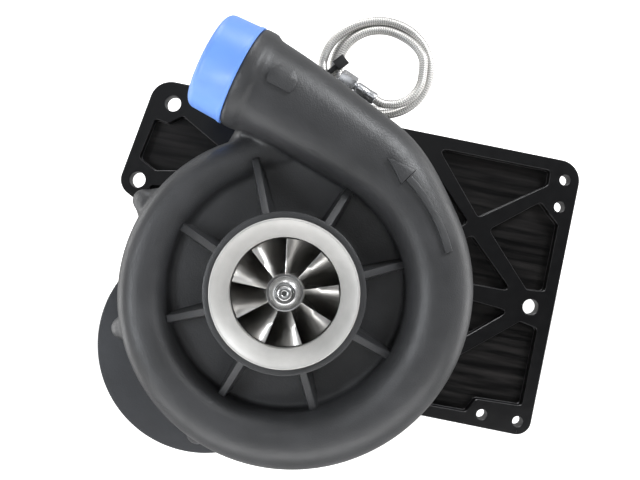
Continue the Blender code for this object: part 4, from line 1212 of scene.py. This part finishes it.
LARGE_HOLE, SMALL_HOLE = 6.9, 4.6
PLATE_HOLES = (
    ((-133.0, 137.1), LARGE_HOLE),
    ((-150.5, 65.0), LARGE_HOLE),
    ((212.3, 23.2), LARGE_HOLE),
    ((220.0, 139.2), SMALL_HOLE),
    ((219.9, 114.9), SMALL_HOLE),
    ((188.7, -78.5), SMALL_HOLE),
    ((221.0, -78.3), SMALL_HOLE),
)
PLATE_POCKETS = (
    ((105, 145), (206, 145), (206.5, 132), (151.5, 91.5)),
    ((163, 83), (203, 116), (222, 99), (222, 39), (206, 37.5)),
    ((149, 75.5), (193.5, 33.5), (120, 32), (120, 47)),
    ((95.5, 135), (143.5, 86), (128, 70), (60, 80), (60, 135)),
    ((195, 16), (130, 21), (130, -41)),
    ((206, 9), (222, 6), (222, -64), (181, -66), (174.5, -79), (70, -81), (125, -61)),
    ((-146, 121), (-134, 119), (-122, 128), (-66, 97), (-80, 87), (-137, 76), (-153, 84)),
    ((-140, 62), (-80, 74), (-100, 44), (-134, 48)),
)
POCKET_DEPTH, HOLE_WALL = 10.0, 6.2
SNOUT_HOLE, BOLT_HOLE, BOLT_SEAT = 30.0, 4.3, 7.0
PLATE_RIGHT, PLATE_TOP, PLATE_LOW = 233.0, 156.0, -90.0
TOP_CORNER, LOW_CORNER, DRIVE_LOBE = 18.5, 13.0, 88.0
PLATE_BOLTS = [("drive", a) for a in (104.5, 154.5, 204.5, 254.5, 304.5)] + [("lobe", 22.0)]


def case_point(bolt):
    side, angle = bolt
    return polar(79.3, angle, DRIVE) if side == "drive" else polar(48.0, angle)


def plate_xz(u, v):
    turn = math.radians(PLATE_TURN)
    return u * math.cos(turn) + v * math.sin(turn), -u * math.sin(turn) + v * math.cos(turn)


def plate_uv(x, z):
    turn = math.radians(PLATE_TURN)
    return x * math.cos(turn) - z * math.sin(turn), x * math.sin(turn) + z * math.cos(turn)


def plate_outline():
    lobe = plate_uv(*DRIVE)
    low = math.degrees(math.asin((PLATE_LOW - lobe[1]) / DRIVE_LOBE))
    outline = arc((PLATE_RIGHT - TOP_CORNER, PLATE_TOP - TOP_CORNER), TOP_CORNER, 90, 0, 16)
    outline += arc((PLATE_RIGHT - LOW_CORNER, PLATE_LOW + LOW_CORNER), LOW_CORNER, 0, -90, 14)
    outline += arc(lobe, DRIVE_LOBE, low, 155 - 360, 90) + [(-126, 36)]
    return outline + arc((-150.5, 65), 15, -119, -188, 14) + arc((-135, 137), 19, 172, 90, 16)


def chamfer_plate(plate):
    """Breaks every edge; the cut shows as a thin line a little brighter than the faces."""
    plate.data.materials.clear()
    for finish in (ANODISED, PLATE_EDGE, PLATE_FACE):
        plate.data.materials.append(finish)
    step = plate.modifiers.new("edges", "BEVEL")
    step.width = 0.5 * MM
    step.segments = 1
    step.limit_method = "ANGLE"
    step.angle_limit = math.radians(60)
    step.use_clamp_overlap = False
    step.material = 1
    bake_modifiers(plate)
    front = -0.9 * PLATE_THICKNESS * MM
    for face in plate.data.polygons:
        if face.material_index == 0 and face.normal.y < -0.9 and face.center.y < front:
            face.material_index = 2
    plate.data.shade_smooth()
    plate.data.set_sharp_from_angle(angle=math.radians(30))


def mounting_plate():
    shape = [plate_xz(u, v) for u, v in plate_outline()]
    plate = prisms("billet_plate", [shape], -PLATE_THICKNESS, 0)
    pockets = [[plate_xz(u, v) for u, v in rounded(pocket, 4.0, 5)] for pocket in PLATE_POCKETS]
    mill = prisms("pockets", pockets, -PLATE_THICKNESS - 4, POCKET_DEPTH - PLATE_THICKNESS)
    bosses = [circle(plate_xz(*centre), radius + HOLE_WALL, 40) for centre, radius in PLATE_HOLES]
    combine(mill, [prisms("bosses", bosses, -PLATE_THICKNESS - 8, 4)], "DIFFERENCE")
    holes = [circle(plate_xz(*centre), radius, 48) for centre, radius in PLATE_HOLES]
    holes.append(circle(DRIVE, SNOUT_HOLE, 96))
    holes += [circle(case_point(bolt), BOLT_HOLE, 32) for bolt in PLATE_BOLTS]
    seats = prisms("seats", [circle(case_point(bolt), BOLT_SEAT, 40) for bolt in PLATE_BOLTS], -9.0, 4)
    combine(plate, [mill, prisms("holes", holes, -PLATE_THICKNESS - 4, 4), seats], "DIFFERENCE")
    chamfer_plate(plate)
    settle(plate, "housing", "black_anodised", "mounting_plate")


mounting_plate()


# ---- gear case and backplate


CASE_FRONT, CASE_JOINT, CASE_BACK = -76.0, -46.0, -16.3
HALF_SEAM = 0.15
CAST_EDGE = 1.6  # the radius left on the case's outer edges
DRAIN_AT = (DRIVE_X, FEED_AT[1], DRIVE_Z - CASE_RADIUS)


def two_circle_outline(drive_radius, lobe_radius, steps=150):
    """The union of a circle about the drive axis and one about the impeller axis."""
    reach = (drive_radius**2 - lobe_radius**2 + CENTRE_DISTANCE**2) / (2 * CENTRE_DISTANCE)
    drive_half = math.degrees(math.acos(reach / drive_radius))
    lobe_half = math.degrees(math.acos((CENTRE_DISTANCE - reach) / lobe_radius))
    toward = DRIVE_ANGLE - 180
    outline = arc(DRIVE, drive_radius, toward + drive_half, toward + 360 - drive_half, steps)
    lobe = arc((0, 0), lobe_radius, DRIVE_ANGLE + lobe_half, DRIVE_ANGLE + 360 - lobe_half, steps // 3)
    return outline + lobe[1:-1]


def gear_case():
    """The case's two halves: outer skins with soft cast edges, hollow where the gears run."""
    shell, cavity = two_circle_outline(CASE_RADIUS, CASE_LOBE_RADIUS), two_circle_outline(69.0, 26.0, 90)
    front = prisms("case_front_cover", [shell], CASE_FRONT, CASE_JOINT - HALF_SEAM)
    soften_edges(front, CAST_EDGE, 4, 40)
    seats = [prisms("cavity", [cavity], -66, -40), bar((0, 0), 15.3, -80, -60), bar(DRIVE, 18.3, -73, -60)]
    combine(front, seats, "DIFFERENCE")
    settle(front, "housing", "grey_case", "gearcase_front", finish=GREY, sharp=40)
    rear = prisms("case_rear_cover", [shell], CASE_JOINT + HALF_SEAM, CASE_BACK)
    soften_edges(rear, CAST_EDGE, 4, 40)
    snout = lathe("snout", [(0, -19), (29, -19), (29, 4.2), (28.2, 5), (0, 5)], None, DRIVE_AT, 96)
    boss = lathe("feed_boss", [(0, 0), (10, 0), (10, 7.2), (9.2, 8), (0, 8)], None, FEED_AT, 48, UP)
    combine(rear, [snout, boss], "UNION")
    cuts = [prisms("cavity", [cavity], -52, -26), bar((0, 0), 15.3, -34, -18.5)]
    cuts += [bar(DRIVE, 22.3, -34, -8), bar(DRIVE, 17.3, -12, 10, 64)]
    port = [(0, -30), (2.8, -30), (2.8, 3), (5.3, 3), (5.3, 12), (0, 12)]
    drain = [(0, 6), (6.3, 6), (6.3, -8), (3, -8), (3, -30), (0, -30)]
    cuts += [lathe("port", port, None, FEED_AT, 32, UP), lathe("drain", drain, None, DRAIN_AT, 32, DOWN)]
    combine(rear, cuts, "DIFFERENCE")
    settle(rear, "housing", "grey_case", "gearcase_rear", finish=GREY, sharp=40)


def backplate():
    """The turned backplate with a tab for each flange screw."""
    plate = lathe("turned_backplate", [(0, -76.3), (122, -76.3), (122, -83.7), (0, -83.7)], segments=180)
    tabs = [lug_outline(a, SCREW_CIRCLE, BOSS_RADIUS - 0.2, TAB_FOOT, TAB_SPREAD) for a in screw_angles()]
    combine(plate, [prisms("tabs", tabs, -76.3, -83.7)], "UNION")
    bore = lathe("bore", [(0, -71), (12.3, -71), (12.3, -81), (9.2, -81), (9.2, -89), (0, -89)], segments=64)
    holes = prisms("holes", screw_circles(3.3, 24), -73, -87)
    seats = prisms("seats", screw_circles(5.6, 40), -80.3, -73)
    combine(plate, [bore, holes, seats], "DIFFERENCE")
    soften_edges(plate, 0.4, 2, 45)
    settle(plate, "housing", "machined_aluminium", "backplate", finish=RING, sharp=30)


gear_case()
backplate()


# ---- fasteners and fittings


def socket_screw(name, x, z, seat_y, head, height, shank, length, node):
    """A socket-head screw from behind, with a broached hexagon and a chamfered rim."""
    outline = [(0, height), (head - 0.7, height), (head, height - 0.7), (head, 0.3), (head - 0.3, 0)]
    outline += [(shank, 0), (shank, 0.8 - length), (shank - 0.8, -length), (0, -length)]
    made = lathe(name, outline, None, (x, seat_y, z), 40)
    key = [circle((0, 0), head * 0.56, 6)]
    combine(made, [prisms("key", key, height * 0.4, height + 2, None, (x, seat_y, z))], "DIFFERENCE")
    settle(made, "housing", "black_steel", node, finish=BLACKED, sharp=30)


def fasteners():
    for k, angle in enumerate(screw_angles()):
        x, z = polar(SCREW_CIRCLE, angle)
        socket_screw(f"flange_screw_{k + 1}", x, z, -80.0, 5.0, 3.2, 3.0, 13.0, f"volute_screw_{k + 1}")
    for k, bolt in enumerate(PLATE_BOLTS):
        x, z = case_point(bolt)
        socket_screw(f"plate_cap_screw_{k + 1}", x, z, -8.7, 6.4, 7.0, 4.0, 24.0, f"plate_bolt_{k + 1}")


def case_fittings():
    """The hexagonal feed adaptor on top and the drain plug below."""
    stem = [(0, 3.5), (4.6, 3.5), (5.0, 3.9), (5.0, 9), (4.8, 14), (4.6, 15.2), (4.2, 15.6), (4.2, 16.6)]
    stem += [(4.6, 17), (4.6, 23.6), (4.2, 24), (0, 24)]
    adaptor = lathe("feed_adaptor", stem, None, FEED_AT, 48, UP)
    combine(adaptor, [hex_nut("feed_hex", 7.6, 8.4, 15.0, PLATED, FEED_AT, UP)], "UNION")
    settle(adaptor, "housing", "plated_steel", "oil_feed_fitting", finish=PLATED, sharp=25)
    screw = [(0, -7), (5.4, -7), (6, -6.4), (6, 0.3), (8.5, 0.3), (8.5, 1.6), (6, 1.8), (0, 1.8)]
    plug = lathe("drain_screw", screw, None, DRAIN_AT, 48, DOWN)
    combine(plug, [hex_nut("drain_hex", 8.1, 1.2, 6.5, PLATED, DRAIN_AT, DOWN)], "UNION")
    settle(plug, "housing", "plated_steel", "oil_drain_plug", finish=PLATED, sharp=25)


fasteners()
case_fittings()


# ---- pulley end


def pulley():
    """Six V-ribs between two flanges, a lightened web and a keyed hub."""
    radius, front, back, count = 44.0, 9.0, 47.0, 6
    flange = radius + 2.5
    groove = (back - front - 9) / count
    outline = [(9.3, front), (19.4, front), (20, front + 0.6), (20, 22), (22, 24), (34, 24), (36, 22)]
    outline += [(36, front + 0.6), (36.6, front), (flange - 0.6, front), (flange, front + 0.6)]
    outline += [(flange, front + 2.0), (flange - 1.3, front + 3.2)]
    for k in range(count):
        start = front + 4 + groove * k
        middle = start + groove / 2
        outline += [(radius - 0.2, start + 0.2), (radius, start + 0.6), (radius, start + 0.9)]
        outline += [(radius - 2.6, middle), (radius - 2.8, middle + 0.3), (radius - 2.6, middle + 0.6)]
    outline += [(radius, back - 5), (flange - 1.3, back - 3.6), (flange, back - 2.2), (flange, back - 0.6)]
    outline += [(flange - 0.6, back), (36.6, back), (36, back - 0.6), (36, 34), (34, 32), (22, 32), (20, 34)]
    outline += [(20, back - 0.6), (19.4, back), (9.3, back)]
    made = lathe("ribbed_pulley", outline, None, DRIVE_AT, 160)
    windows = [circle(polar(28, 30 + 60 * k, DRIVE), 5.5, 40) for k in range(6)]
    combine(made, [prisms("windows", windows, 18, 40)], "DIFFERENCE")
    settle(made, "drive_rotor", "black_anodised", "drive_pulley", finish=PULLEY, sharp=30)
    disc = [(5.3, 47.6), (15.4, 47.6), (16, 48.2), (16, 49.8), (15.4, 50.4), (5.3, 50.4)]
    washer = lathe("pulley_thrust_washer", disc, PLATED, DRIVE_AT, 96)
    settle(washer, "drive_rotor", "plated_steel", "pulley_washer")
    bolt = hex_nut("pulley_hex_bolt", 8.5, 50.7, 58.7, PLATED, DRIVE_AT, None)
    shank = lathe("shank", [(0, 22.7), (4.4, 22.7), (5, 23.3), (5, 52), (0, 52)], None, DRIVE_AT, 40)
    combine(bolt, [shank], "UNION")
    settle(bolt, "drive_rotor", "plated_steel", "pulley_bolt", finish=PLATED, sharp=25)


pulley()


# ---- discharge cap


def discharge_cap():
    """A moulded cap: flared lip, drafted wall, rounded shoulder and a slightly sunk end."""
    lip, inner, depth, end = BEAD_RADIUS, SPIGOT_RADIUS + 0.3, SPIGOT_LENGTH + 2.2, CAP_LENGTH
    outline = [(0, depth), (inner - 1.5, depth), (inner - 0.3, depth - 0.8), (inner, depth - 2)]
    outline += [(inner, 0.9), (inner + 0.3, 0.4), (lip - 0.5, 0.3), (lip, 0.8), (lip, 2.4)]
    outline += [(lip - 0.35, 3.6), (lip - 0.8, 4.8), (lip - 1.6, end - 7)]
    outline += arc((lip - 8.1, end - 6.6), 6.5, 0, 90, 12)
    outline += [(lip - 12, end - 0.15), (lip - 13.5, end - 0.6), (lip - 15, end - 0.8), (0, end - 0.9)]
    cap = lathe("shipping_cap", outline, BLUE, EXIT_AT, 144, EXIT_TURN, 40)
    settle(cap, "discharge_cap", "blue_plastic", "discharge_cap")


discharge_cap()


# ---- CAD nodes that stay


KEPT = (
    (GROUND, ["drive_gear", "input_shaft", "drive_key", "pinion_shaft", "dowel_pin_1", "dowel_pin_2"]),
    (BEARING, [f"{axis}_bearing_{end}" for axis in ("pinion", "input") for end in ("front", "rear")]),
    (SEAL, ["impeller_seal", "input_seal"]),
    (BLACKED, [f"{part}_screw_{k}" for part in ("backplate", "case") for k in range(1, 5)]),
)


def dress_kept_nodes():
    for finish, names in KEPT:
        for name in names:
            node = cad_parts[name]
            node.data.materials.clear()
            node.data.materials.append(finish)


dress_kept_nodes()
